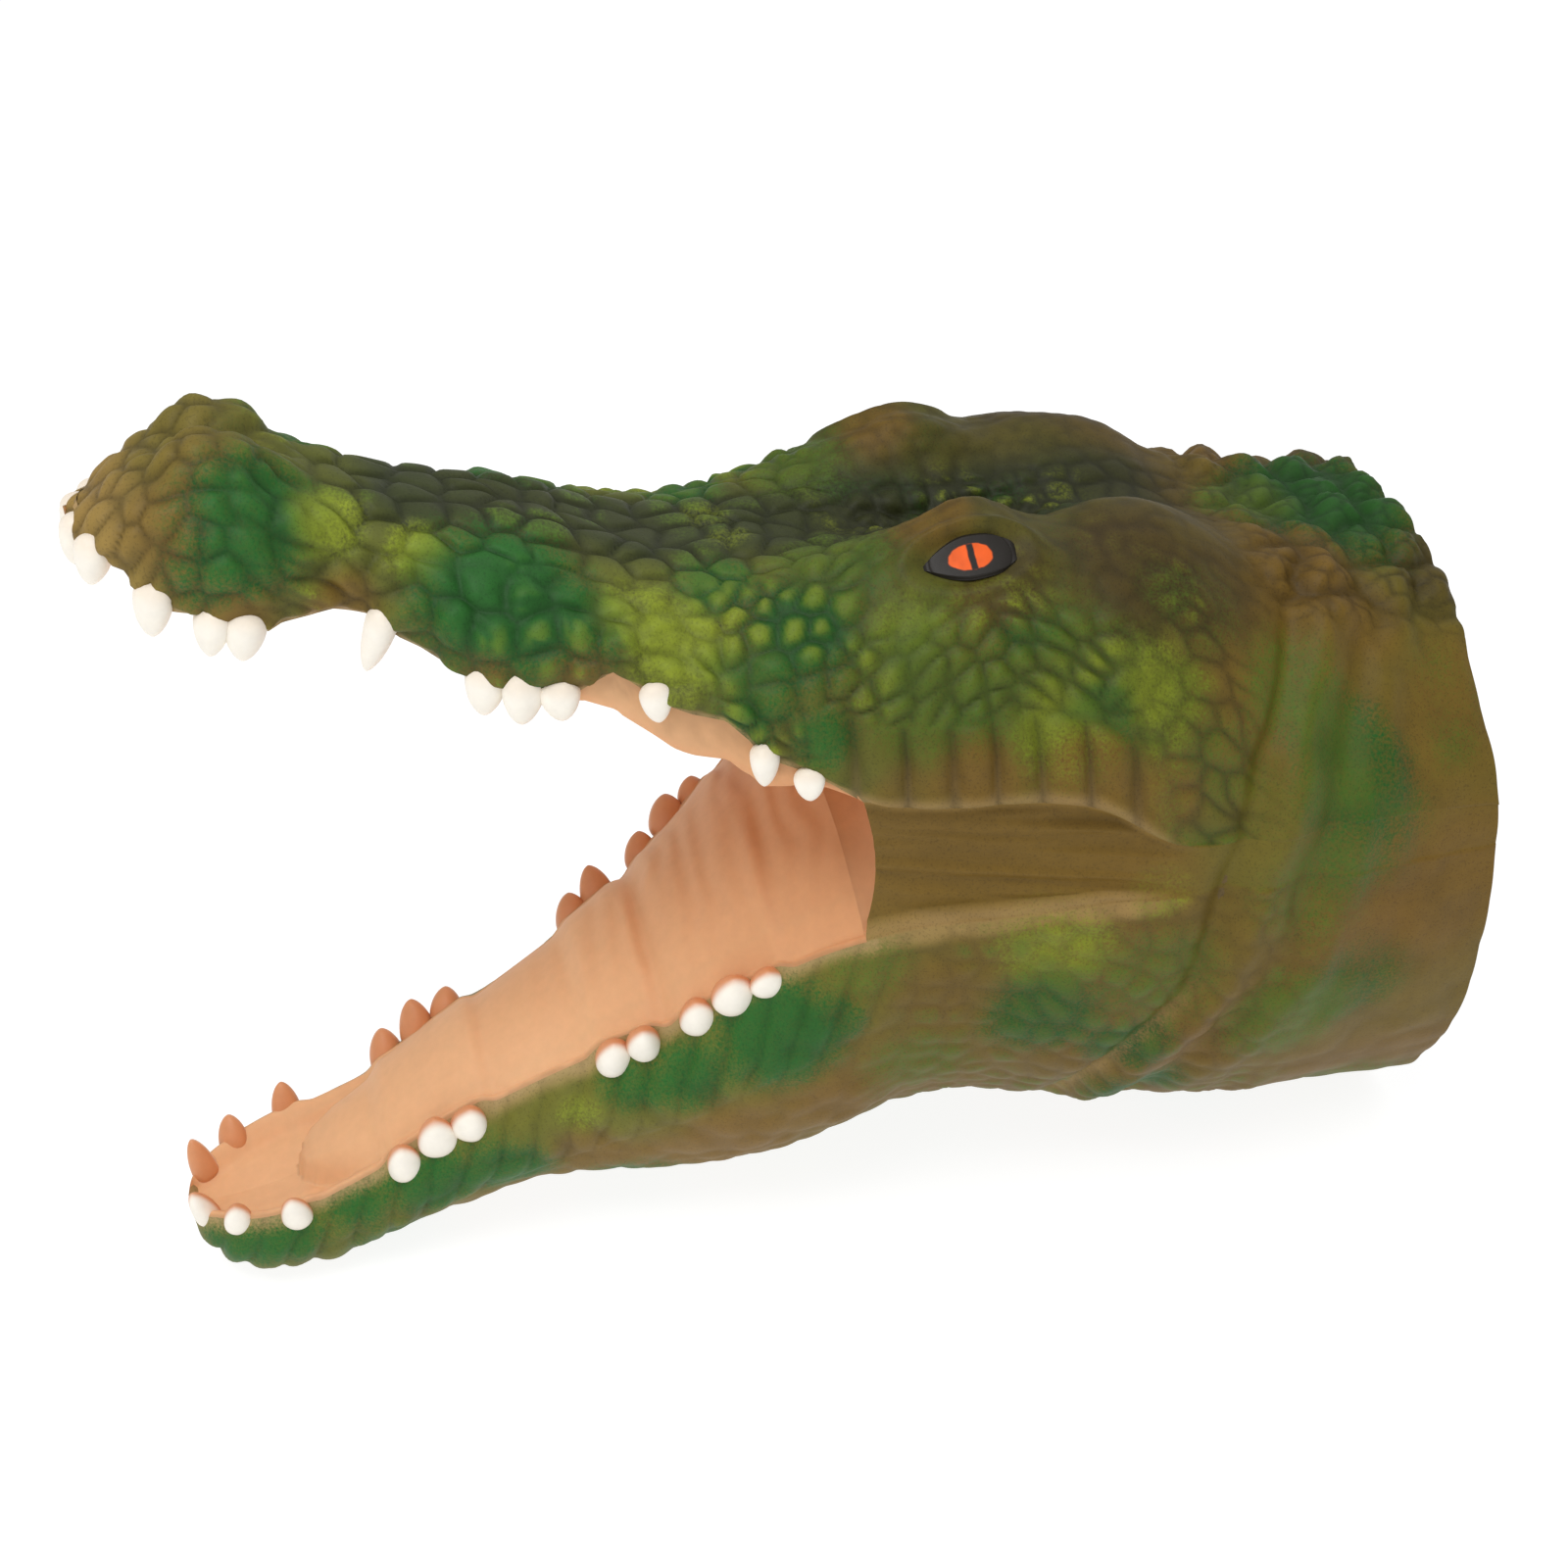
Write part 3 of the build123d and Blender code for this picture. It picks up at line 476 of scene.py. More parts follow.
# Lower skin.
w_rib = lo * (1 - smoothstep(-2, 22, SS)) * (1 - smoothstep(18, 32, LP))
rib = (SS + 0.35 * LP + 1.6 * noise3(V / 9.0, 66)) / 7.4
rf = np.abs(rib - np.round(rib)) * 2
rib_h = (1 - rf ** 2.2) * np.clip(1 - ((LP - 9.5) / 12.0) ** 2, 0, 1) ** 0.5 * smoothstep(1.5, 7, LP)
h += w_rib * 1.25 * rib_h
groove = groove * (1 - w_rib) + w_rib * np.clip((1 - rf) / 0.25, 0, 1)
add_cells(w_rib * smoothstep(7, 14, LP), 0.6, bumps(6.0, 7.0, 21, k=8.0))
w_belly = lo * (1 - smoothstep(10, 40, SS)) * smoothstep(18, 32, LP)
add_cells(w_belly, 0.5, bumps(6.0, 6.0, 22))
w_throat = lo * smoothstep(0, 22, SS) * (1 - smoothstep(78, 96, SS))
add_cells(w_throat, 0.55, cell(6.0, 6.4, 23, edge=0.98))
w_low_neck = lo * smoothstep(78, 96, SS)
add_cells(w_low_neck, 0.38, bumps(8.5, 9.0, 24, k=8.0))
h += lo * 0.3 * np.exp(-((LP - 3.0) / 2.0) ** 2) * (1 - smoothstep(40, 60, SS))

# Cheek web: fine lengthwise creases.
q = np.column_stack([V[:, 1] / 22.0, (V[:, 2] + 0.10 * V[:, 1]) * 0.50, 0.0 * V[:, 0]])
streak = noise3(q, 5) + 0.6 * noise3(q * (1.4, 2.1, 1), 6)
h += web * (1 - smoothstep(48, 64, SS)) * np.sin(math.pi * SV) ** 0.5 * 0.62 * streak
groove = np.where(web, 1 - 0.5 * np.clip(-streak, 0, 1) * (1 - smoothstep(48, 64, SS)), groove)

# Skin folds round the neck side.
z0 = V[:, 2]
Sf = np.interp(z0, [10, 30, 46, 62, 90, 110, 132], [42, 47, 54, 64, 71, 78, 92])
on_side = smoothstep(8, 22, z0) * (1 - smoothstep(128, 136, z0)) * smoothstep(20, 36, np.abs(V[:, 0]))
h += on_side * (-2.1 * np.exp(-((SS - Sf) / 3.0) ** 2) + 1.9 * np.exp(-((SS - Sf - 7) / 4.6) ** 2)
                - 1.4 * np.exp(-((SS - Sf - 17) / 3.6) ** 2) + 1.1 * np.exp(-((SS - Sf - 25) / 5.0) ** 2)
                + 0.6 * noise3(np.column_stack([V[:, 1] / 4.5, V[:, 2] / 22.0, V[:, 0] / 30.0]), 91) * smoothstep(60, 76, SS))

# Broad hand-made unevenness.
h += 0.8 * noise3(V / 17.0, 8) + 0.35 * noise3(V / 8.0, 9)

# Nostril mounds with a shallow pit.
for sx in (1, -1):
    d = np.linalg.norm((V - (sx * 9.0, -91.5, 182.0)) * (1, 0.85, 1), axis=1)
    h += 2.6 * bell(d, 11.0)
    d2 = np.linalg.norm(V - (sx * 9.5, -94.0, 182.5), axis=1)
    h -= 1.6 * bell(d2, 3.0)

# Eyes: seat, lids and the tangent frame that the painted eye follows.
EYE = {}
for sx in (1, -1):
    k = np.argmin(np.linalg.norm((V - (sx * 30.5, 29.2, 149.0)) + 1e3 * (~up)[:, None], axis=1))
    c0, n0 = V[k].copy(), N0[k].copy()
    a0 = np.array([0.0, -1.0, 0.0]); a0 -= n0 * (a0 @ n0); a0 /= np.linalg.norm(a0)
    b0 = np.cross(n0, a0)
    if b0[2] < 0:
        b0 = -b0
    EYE[sx] = (c0, n0, a0, b0)
    r3 = V - c0
    ea, eb, en = r3 @ a0, r3 @ b0, r3 @ n0
    close = (np.abs(en) < 9) & up
    rr = np.sqrt((ea / 9.6) ** 2 + (eb / 5.2) ** 2)
    calm = close * (1 - smoothstep(1.0, 1.9, rr))
    h = h * (1 - calm)
    h += close * (1.15 * np.exp(-((rr - 1.28) / 0.22) ** 2) * (1 + 0.5 * np.clip(eb / 6, -1, 1)) - 0.7 * (1 - smoothstep(0.75, 1.1, rr)))
    groove = groove * (1 - calm) + calm

# Nothing moves on the shared edge of lip and lining, so the pieces stay joined.
lip_front = (up | lo) & (SS < CORNER + 1.0)
h *= np.where(lip_front, smoothstep(0, 2.2, LP), 1.0)
h *= np.where(web, 1.0, np.where((SS >= CORNER) & (SS < 62), smoothstep(-0.6, 1.6, LP), 1.0))
groove = groove * (1 - w_row) + w_row * np.clip((1 - fr) / 0.30, 0, 1)
tops = tops * (1 - w_row) + w_row * np.clip(row_prof, 0, 1)
h *= np.where(lo, smoothstep(-131.4, -127.0, SS), 1.0) * np.where(up, smoothstep(-121.6, -117.0, SS), 1.0)
P3 = V + N0 * h[:, None]
P3[:, 2] = np.maximum(P3[:, 2], 0.02)
N1 = normals(P3, F)
for ix in (iU, iL):
    for arr in (N0, N1):
        m_ = arr[ix[1]].mean(0); arr[ix[0]] = m_ / np.linalg.norm(m_)

# --------------------------------------------------------- jaw weight, 0 to 1
ang = np.degrees(np.arctan2(V[:, 2] - HINGE[1], -(V[:, 1] - HINGE[0])))      # 0 ahead, -90 below
W = np.where(lo, 1 - smoothstep(46, 122, -ang) * 1.0, 0.0)
W = np.where(lo & (ang > -20), 1.0, W)
W = np.where(lo & (V[:, 1] > HINGE[0]) & (ang > -5), 0.0, W)
fold_w = {}
for side in (1, -1):
    col = -1 if side > 0 else 0
    lw = W[iL[kL:, col]]
    fold_w[side] = lw
    W[iW[side][:, 1:-1]] = lw[:, None] * s[None, 1:-1]

# ----------------------------------------------------------------- paint
def lin(r, g, b):
    c = np.array([r, g, b], float) / 255.0
    return np.where(c <= 0.04045, c / 12.92, ((c + 0.055) / 1.055) ** 2.4)


OLIVE = lin(104, 96, 48)
BROWN = lin(112, 86, 46)
DARKB = lin(70, 56, 32)
TAN = lin(146, 120, 80)
GREEN = lin(32, 88, 40)
DEEP = lin(22, 84, 44)
YELLOW = lin(124, 138, 46)
GRASS = lin(80, 104, 42)
BLACKG = lin(42, 50, 36)
PINK = lin(176, 148, 118)
TINT = {"BROWN": BROWN, "DARKB": DARKB, "GREEN": GREEN, "DEEP": DEEP, "YELLOW": YELLOW, "GRASS": GRASS, "BLACKG": BLACKG}

base_col = np.tile(OLIVE, (nV, 1))           # ground colour of the rubber and its first brushed coats
over_col = np.tile(GREEN, (nV, 1))           # last sprayed coat
over_cov = np.zeros(nV)
wob = 0.5 * noise3(V / 9.0, 31) + 0.3 * noise3(V / 3.5, 32)


def lay(color, cov):
    global base_col
    cov = np.clip(cov, 0, 1)[:, None]
    base_col = base_col * (1 - cov) + color * cov


def spray(color, cov):
    """Airbrushed coat: keeps its own colour and coverage, so that it can break up into specks at its edge."""
    global over_col, over_cov
    cov = np.clip(cov, 0, 1)
    total = over_cov + cov - over_cov * cov
    share = np.where(total > 1e-6, cov / np.maximum(total, 1e-6), 0)[:, None]
    over_col = over_col * (1 - share) + color * share
    over_cov = total


def near(x, y, z, r, soft=0.45):
    d = np.linalg.norm(V - (x, y, z), axis=1) / r
    return 1 - smoothstep(1 - soft, 1 + soft, d + 0.25 * wob)


lay(BROWN, 0.75 * smoothstep(-0.3, 0.6, noise3(V / 24.0, 41)))
lay(lin(76, 92, 40), up * 0.6 * smoothstep(-96, -80, SS) * (1 - smoothstep(56, 76, SS)))
lay(BROWN, lo * 0.5)
lay(TAN, up * 0.8 * (1 - smoothstep(-116, -100, SS + 6 * wob)))
lay(DARKB, up * 0.55 * smoothstep(4, 20, SS) * (1 - smoothstep(78, 92, SS)) * (1 - smoothstep(24, 44, aT)))
lay(BLACKG, up * 0.85 * smoothstep(-84, -66, SS + 5 * wob) * (1 - smoothstep(72, 86, SS)) * (1 - smoothstep(9, 19, aT + 3 * wob)))
lay(GRASS, lo * 0.5 * (1 - smoothstep(-20, 30, SS)) * (1 - smoothstep(14, 30, LP)))

# (tint, x, y, z, radius, strength) on the +X side; the -X side has the same coats, a little out of place.
COATS = [
    ("GREEN", 18, -90, 171, 11, 0.95), ("GREEN", 13, -81, 173, 6, 0.6), ("YELLOW", 15, -77, 168, 6, 0.75),
    ("YELLOW", 18, -63, 161, 5, 0.85), ("GREEN", 21, -99, 164, 6, 0.6), ("GREEN", 23, -50, 152, 14, 1.0),
    ("GREEN", 28, -37, 146, 7, 0.8), ("YELLOW", 26, -30, 148, 6, 0.6), ("YELLOW", 31, -22, 142, 9, 0.85),
    ("GREEN", 20, -13, 147, 7, 0.85), ("GREEN", 32, -2, 142, 10, 0.95), ("GRASS", 35, -13, 136, 7, 0.6),
    ("GREEN", 39, -14, 128, 5, 0.7), ("GREEN", 42, -1, 125, 5, 0.8), ("GRASS", 20, 8, 149, 10, 0.7),
    ("YELLOW", 38, 16, 139, 8, 0.5), ("GRASS", 42, 20, 133, 13, 0.8), ("GRASS", 46, 42, 129, 15, 0.65),
    ("YELLOW", 50, 40, 122, 8, 0.75), ("YELLOW", 48, 59, 127, 7, 0.6), ("GRASS", 38, 70, 135, 8, 0.45),
    ("YELLOW", -5, -10, 148, 4, 0.3), ("DEEP", 53, 95, 103, 11, 0.6), ("GREEN", 54, 97, 92, 12, 0.5), ("GREEN", 50, 92, 112, 9, 0.45), ("GRASS", 54, 88, 82, 12, 0.5), ("GRASS", 43, 84, 119, 10, 0.6),
    ("GRASS", 53, 70, 111, 8, 0.4), ("GREEN", 2, 108, 131, 16, 0.95), ("GRASS", 0, 93, 132, 9, 0.6),
    ("GREEN", 16, 114, 130, 8, 0.6), ("YELLOW", 55, 57, 88, 5, 0.5), ("YELLOW", 52, 38, 77, 10, 0.75),
    ("GREEN", 49, 37, 60, 11, 0.8), ("GREEN", 49, 54, 48, 8, 0.85), ("GRASS", 54, 57, 67, 12, 0.6),
    ("GREEN", 54, 97, 57, 11, 0.55), ("GRASS", 53, 85, 49, 12, 0.7), ("GREEN", 39, 60, 28, 9, 0.85),
    ("GREEN", 39, -13, 59, 13, 0.95), ("GREEN", 34, -30, 48, 8, 0.9), ("GREEN", 31, -41, 46, 7, 0.8),
    ("GREEN", 42, -2, 62, 6, 0.6), ("GREEN", 20, -65, 24, 9, 0.85), ("GREEN", 22, -81, 23, 9, 0.9),
    ("GREEN", 21, -97, 22, 8, 0.9), ("GREEN", 18, -111, 16, 8, 0.9), ("GREEN", 13, -122, 14, 7, 0.85),
    ("GRASS", 39, 13, 46, 10, 0.55), ("GRASS", 43, 4, 75, 8, 0.5), ("YELLOW", 28, -51, 38, 5, 0.5),
    ("GREEN", 12, -40, 16, 12, 0.7), ("GREEN", 10, -90, 6, 10, 0.7), ("GREEN", 14, 20, 18, 14, 0.7),
    ("GRASS", 8, -8, 14, 12, 0.5), ("GREEN", 12, 84, 5, 14, 0.75), ("GRASS", 30, 110, 10, 14, 0.6),
    ("BROWN", 35, 0, 37, 11, 0.75), ("BROWN", 31, -19, 31, 11, 0.75), ("BROWN", 45, 16, 67, 8, 0.5),
    ("BROWN", 23, -49, 28, 8, 0.7), ("DARKB", 34, 59, 144, 14, 0.9), ("DARKB", 34, 34, 146, 9, 0.7), ("DARKB", 37, 74, 138, 11, 0.7),
    ("BROWN", 21, 25, 155, 8, 0.8), ("BROWN", 39, 28, 139, 7, 0.3), ("BROWN", 25, 93, 130, 11, 0.6),
    ("BROWN", 55, 115, 76, 17, 0.8), ("BROWN", 56, 99, 71, 9, 0.6), ("BROWN", 41, 119, 111, 11, 0.7),
    ("DARKB", 24, 122, 126, 9, 0.6), ("BROWN", 34, 105, 122, 7, 0.5), ("BROWN", 49, 25, 115, 8, 0.9),
    ("BROWN", 52, 43, 114, 9, 0.9), ("BROWN", 55, 57, 107, 8, 0.85), ("BROWN", 46, 12, 113, 6, 0.6),
    ("BROWN", 31, -39, 138, 6, 0.7), ("BROWN", 26, -55, 139, 5, 0.7), ("BROWN", 18, -104, 172, 7, 0.4),
    ("BROWN", 18, -77, 153, 6, 0.8), ("BROWN", 20, -94, 154, 5, 0.7),
]
for tint, x, y, z, r, strength in COATS:
    for sx in (1, -1):
        off = (0, 0, 0) if sx > 0 else (0.6, 2.0, -1.2)
        m = near(sx * (x - off[0]), y + off[1], z + off[2], r) * strength
        if tint in ("BROWN", "DARKB"):
            over_cov = over_cov * (1 - 0.8 * m)
            lay(TINT[tint], m)
        else:
            spray(TINT[tint], m)

patchy = smoothstep(-0.25, 0.45, noise3(V / 9.5, 77))
# Yellow sprayed heavier on the scale tops: yellow paint, with the lighter tops also a painted highlight.
spray(YELLOW, 0.60 * (w_mid + 0.5 * w_snout + 0.4 * w_side * (SS < 70)) * smoothstep(0.35, 0.85, tops) * patchy)
spray(GREEN, 0.55 * (w_mid + 0.6 * w_snout) * (1 - patchy) * smoothstep(-0.2, 0.5, noise3(V / 12.0, 78)))
spray(GRASS, 0.50 * w_throat * smoothstep(0.3, 0.8, tops) * smoothstep(-0.3, 0.3, noise3(V / 14.0, 79)))
spray(GRASS, 0.45 * w_scute * smoothstep(0.5, 0.9, tops) * smoothstep(0.0, 0.5, noise3(V / 8.0, 80)))

spray(GRASS, 0.55 * w_side * (1 - w_row) * smoothstep(-0.2, 0.5, noise3(V / 13.0, 81)))

# Brown on the web and a pale dusting along the folds and lips.
web_band = web * (1 - smoothstep(58, 70, SS))
lay(lin(112, 88, 48), web_band * 0.85)
over_cov = over_cov * (1 - 0.75 * web_band)
dust = np.zeros(nV)
edge_u = up & (SS < CORNER + 2)
dust = np.maximum(dust, edge_u * 0.75 * (1 - smoothstep(0.3, 2.4, LP + 0.8 * wob)))
edge_l = lo & (SS < CORNER + 2)
dust = np.maximum(dust, edge_l * 0.85 * (1 - smoothstep(0.4, 4.2, LP + 1.2 * wob)))
crease = (up | lo) & (SS >= CORNER)
dust = np.maximum(dust, crease * (1 - smoothstep(52, 66, SS)) * 0.62 * (1 - smoothstep(0.4, 4.0, LP + 1.0 * wob)))
dust = np.maximum(dust, web * (1 - smoothstep(50, 62, SS)) * 0.55 * (1 - smoothstep(0.02, 0.13, np.minimum(SV, 1 - SV))))
rim_k = edge_l * (1 - smoothstep(0.5, 6, LP)) * (1 - smoothstep(-60, -20, -SS - 60))
dust = np.maximum(dust, 0.45 * w_row * (1 - groove) * (1 - smoothstep(2, 12, LP)))
dust = np.maximum(dust, on_side * 0.5 * np.exp(-((SS - Sf - 1.0) / 1.6) ** 2) * (1 - smoothstep(52, 70, z0)))
dust = np.clip(dust, 0, 1)
over_cov = over_cov * (1 - 0.85 * dust)
lay(PINK, dust * 0.8)

# The rubber is a warm olive: more yellow over the cheeks and neck than on the snout, less so where the paint is rubbed.
rear_k = smoothstep(-30, 25, SS)[:, None]
warm = np.array([1.12, 1.09, 0.68]) * (1 - rear_k) + np.array([0.87, 0.81, 0.32]) * rear_k
warm = warm + (1 - warm) * 0.5 * dust[:, None]
base_col = base_col * warm
over_col = over_col * warm
skin_col = np.column_stack([base_col, np.ones(nV)])
over_rgba = np.column_stack([over_col, np.clip(over_cov, 0, 1)])
# Painted shade and highlight from the relief: darker in the grooves and low on the scales, lighter on the scale tops;
# weaker on the throat, belly, ribs and neck side.
painted_relief_shade = np.clip(0.45 * groove + 0.55 * tops, 0, 1)
painted_relief_shade += (1 - painted_relief_shade) * np.clip(0.6 * (w_throat + w_low_neck) + 0.7 * w_belly + 0.2 * w_rib + 0.6 * w_side * smoothstep(70, 84, SS), 0, 0.8)


# --------------------------------------------------------------- mesh making
V_in = V - N0 * 2.4
V_in[:, 1] += 2.6 * np.exp(-np.clip(SS - CORNER, 0, 99) / 3.0) * (SS >= CORNER - 0.5)
V_in[:, 2] -= 3.4 * (1 - smoothstep(-128.0, -118.0, SS)) * (1 - smoothstep(2, 8, LP)) * lo
V_in[:, 2] += 2.6 * (1 - smoothstep(-120.0, -112.0, SS)) * (1 - smoothstep(2, 8, LP)) * up


def to_m(p):
    q = np.array(p, float)
    q[:, 1] += DY
    return q * MM


def make(name, verts, faces, attrs=None, smooth=True, split=None):
    """Mesh object from mm points in the tabled frame; attrs {name: (n, 4) or (n,)}; split = per-corner normals."""
    me = bpy.data.meshes.new(name)
    faces = np.asarray(faces)
    me.from_pydata(to_m(verts).tolist(), [], faces.tolist())
    me.update()
    for key, val in (attrs or {}).items():
        if val.ndim == 2:
            a = me.color_attributes.new(key, "FLOAT_COLOR", "POINT")
            a.data.foreach_set("color", val.astype(np.float32).ravel())
        else:
            a = me.attributes.new(key, "FLOAT", "POINT")
            a.data.foreach_set("value", val.astype(np.float32))
    if smooth:
        me.polygons.foreach_set("use_smooth", np.ones(len(me.polygons), bool))
    if split is not None and len(me.loops) == len(split):
        me.normals_split_custom_set(split.tolist())
    ob = bpy.data.objects.new(name, me)
    scene.collection.objects.link(ob)
    return ob


def shell(name, P, N, faces, thick, attrs, out_n=None):
    """Closed skin piece: outer layer P, inner layer P_in, and the rim that joins them."""
    used = np.unique(faces)
    idx = -np.ones(len(P), int); idx[used] = np.arange(len(used))
    f = idx[faces]
    good = np.ones(len(f), bool)
    p_out = P[used]
    p_in = thick[used]
    n = len(used)
    e = np.concatenate([f[:, [0, 1]], f[:, [1, 2]], f[:, [2, 3]], f[:, [3, 0]]])
    key = e[:, 0].astype(np.int64) * n + e[:, 1]
    rev = e[:, 1].astype(np.int64) * n + e[:, 0]
    border = e[~np.isin(key, rev)]
    rim = np.stack([border[:, 1], border[:, 0], border[:, 0] + n, border[:, 1] + n], 1)
    verts = np.concatenate([p_out, p_in])
    allf = np.concatenate([f, f[:, ::-1] + n, rim])
    no = (N if out_n is None else out_n)[used]
    a, b, c, d = (verts[rim[:, i]] for i in range(4))
    rn = np.cross(c - a, d - b); rn /= np.maximum(np.linalg.norm(rn, axis=1, keepdims=True), 1e-9)
    split = np.concatenate([no[f].reshape(-1, 3), -no[f[:, ::-1]].reshape(-1, 3), np.repeat(rn, 4, axis=0)])
    at = {k: np.concatenate([v[used], v[used]]) for k, v in attrs.items()}
    if "over" in at:
        # the hand cavity is bare rubber, without the sprayed patches
        k = smoothstep(CORNER + 4, CORNER + 16, SS[used])
        at["base"][n:, :3] += (lin(98, 80, 44) - at["base"][n:, :3]) * k[:, None]
        at["over"][n:, 3] *= 1 - k
    ob = make(name, verts, allf, at, split=split)
    return ob, used


def drop_flat(v, f):
    """Leaves out quads that have shrunk to nothing."""
    a, b, c, d = (v[f[:, i]] for i in range(4))
    ar = np.linalg.norm(np.cross(c - a, d - b), axis=1)
    return f[ar > 1e-7]


# ----------------------------------------------------------------- materials
def nodes_of(name):
    m = bpy.data.materials.new(name)
    m.use_nodes = True
    nt = m.node_tree
    for n in list(nt.nodes):
        nt.nodes.remove(n)
    out = nt.nodes.new("ShaderNodeOutputMaterial")
    bs = nt.nodes.new("ShaderNodeBsdfPrincipled")
    nt.links.new(bs.outputs[0], out.inputs[0])
    return m, nt, bs


def node(nt, kind, **vals):
    n = nt.nodes.new(kind)
    for k, v in vals.items():
        if k.startswith("in_"):
            key = k[3:].replace("_", " ")
            n.inputs[int(key) if key.isdigit() else key].default_value = v
        else:
            setattr(n, k, v)
    return n


def math_node(nt, op, a, b=None, clamp=False):
    n = nt.nodes.new("ShaderNodeMath"); n.operation = op; n.use_clamp = clamp
    for i, v in enumerate((a, b)):
        if v is None:
            continue
        if isinstance(v, (int, float)):
            n.inputs[i].default_value = v
        else:
            nt.links.new(v, n.inputs[i])
    return n.outputs[0]


def mix_col(nt, kind, fac, a, b):
    n = nt.nodes.new("ShaderNodeMix"); n.data_type = "RGBA"; n.blend_type = kind; n.clamp_result = False
    for sock, v in ((n.inputs[0], fac), (n.inputs[6], a), (n.inputs[7], b)):
        if isinstance(v, (int, float, tuple)):
            sock.default_value = v
        else:
            nt.links.new(v, sock)
    return n.outputs[2]


def coords(nt):
    return nt.nodes.new("ShaderNodeTexCoord").outputs["Object"]


def noise_tex(nt, vec, scale, detail=2.0, rough=0.5):
    n = node(nt, "ShaderNodeTexNoise")
    n.inputs["Scale"].default_value = scale
    n.inputs["Detail"].default_value = detail
    n.inputs["Roughness"].default_value = rough
    nt.links.new(vec, n.inputs["Vector"])
    return n.outputs[0]


def spec(bs, rough, level=0.5, coat=0.0):
    bs.inputs["Roughness"].default_value = rough
    for key in ("Specular IOR Level", "Specular"):
        if key in bs.inputs:
            bs.inputs[key].default_value = level
            break
    if coat and "Coat Weight" in bs.inputs:
        bs.inputs["Coat Weight"].default_value = coat


def rubber(name):
    m, nt, bs = nodes_of(name)
    vec = coords(nt)
    base = node(nt, "ShaderNodeVertexColor", layer_name="base")
    over = node(nt, "ShaderNodeVertexColor", layer_name="over")
    cav = node(nt, "ShaderNodeAttribute", attribute_name="painted_relief_shade")
    fine = noise_tex(nt, vec, 1700.0, 2.0, 0.6)
    mid = noise_tex(nt, vec, 420.0, 3.0, 0.6)
    # coverage broken into specks: strongest where the coat is half there
    spread = math_node(nt, "ADD", math_node(nt, "MULTIPLY", math_node(nt, "SUBTRACT", fine, 0.5), 2.6),
                       math_node(nt, "MULTIPLY", math_node(nt, "SUBTRACT", mid, 0.5), 0.8))
    a = over.outputs["Alpha"]
    k = math_node(nt, "MULTIPLY", math_node(nt, "MULTIPLY", a, math_node(nt, "SUBTRACT", 1.0, a)), 3.2)
    fac = math_node(nt, "ADD", a, math_node(nt, "MULTIPLY", spread, k), clamp=True)
    c = mix_col(nt, "MIX", fac, base.outputs["Color"], over.outputs["Color"])
    # painted shade in the grooves, partly settled paint, painted highlight on the scale tops, then random tone and fine
    # dark specks
    shade_and_tone = math_node(nt, "ADD", math_node(nt, "MULTIPLY", cav.outputs["Fac"], 0.58), 0.52)
    shade_and_tone = math_node(nt, "MULTIPLY", shade_and_tone, math_node(nt, "ADD", math_node(nt, "MULTIPLY", mid, 0.34), 0.83))
    speck = noise_tex(nt, vec, 2300.0, 1.0, 0.5)
    sp = math_node(nt, "SUBTRACT", 1.0, math_node(nt, "MULTIPLY", math_node(nt, "GREATER_THAN", speck, 0.62), 0.20))
    shade_and_tone = math_node(nt, "MULTIPLY", shade_and_tone, sp)
    comb = nt.nodes.new("ShaderNodeCombineColor")
    for i in range(3):
        nt.links.new(shade_and_tone, comb.inputs[i])
    c = mix_col(nt, "MULTIPLY", 1.0, c, comb.outputs[0])
    nt.links.new(c, bs.inputs["Base Color"])
    spec(bs, 0.58, 0.24)
    bump = node(nt, "ShaderNodeBump")
    bump.inputs["Strength"].default_value = 0.22
    bump.inputs["Distance"].default_value = 0.0004
    grain = math_node(nt, "ADD", math_node(nt, "MULTIPLY", fine, 0.6), math_node(nt, "MULTIPLY", mid, 0.8))
    nt.links.new(grain, bump.inputs["Height"])
    nt.links.new(bump.outputs[0], bs.inputs["Normal"])
    return m


def soft_rubber(name, rough, level, sss, radius):
    m, nt, bs = nodes_of(name)
    vec = coords(nt)
    base = node(nt, "ShaderNodeVertexColor", layer_name="base")
    mid = noise_tex(nt, vec, 380.0, 3.0, 0.6)
    comb = nt.nodes.new("ShaderNodeCombineColor")
    k = math_node(nt, "ADD", math_node(nt, "MULTIPLY", mid, 0.16), 0.92)
    for i in range(3):
        nt.links.new(k, comb.inputs[i])
    nt.links.new(mix_col(nt, "MULTIPLY", 1.0, base.outputs["Color"], comb.outputs[0]), bs.inputs["Base Color"])
    spec(bs, rough, level)
    if "Subsurface Weight" in bs.inputs and sss:
        bs.inputs["Subsurface Weight"].default_value = sss
        bs.inputs["Subsurface Radius"].default_value = radius
        bs.inputs["Subsurface Scale"].default_value = 1.0
    bump = node(nt, "ShaderNodeBump")
    bump.inputs["Strength"].default_value = 0.15
    bump.inputs["Distance"].default_value = 0.0004
    nt.links.new(mid, bump.inputs["Height"])
    nt.links.new(bump.outputs[0], bs.inputs["Normal"])
    return m


M_SKIN = rubber("painted_rubber")
M_LINING = soft_rubber("mouth_lining", 0.60, 0.30, 0.10, (0.003, 0.0012, 0.0006))
M_TOOTH = soft_rubber("tooth_paint", 0.45, 0.40, 0.08, (0.001, 0.001, 0.0008))
M_EYE = soft_rubber("eye_paint", 0.48, 0.28, 0.0, (0.001, 0.001, 0.001))

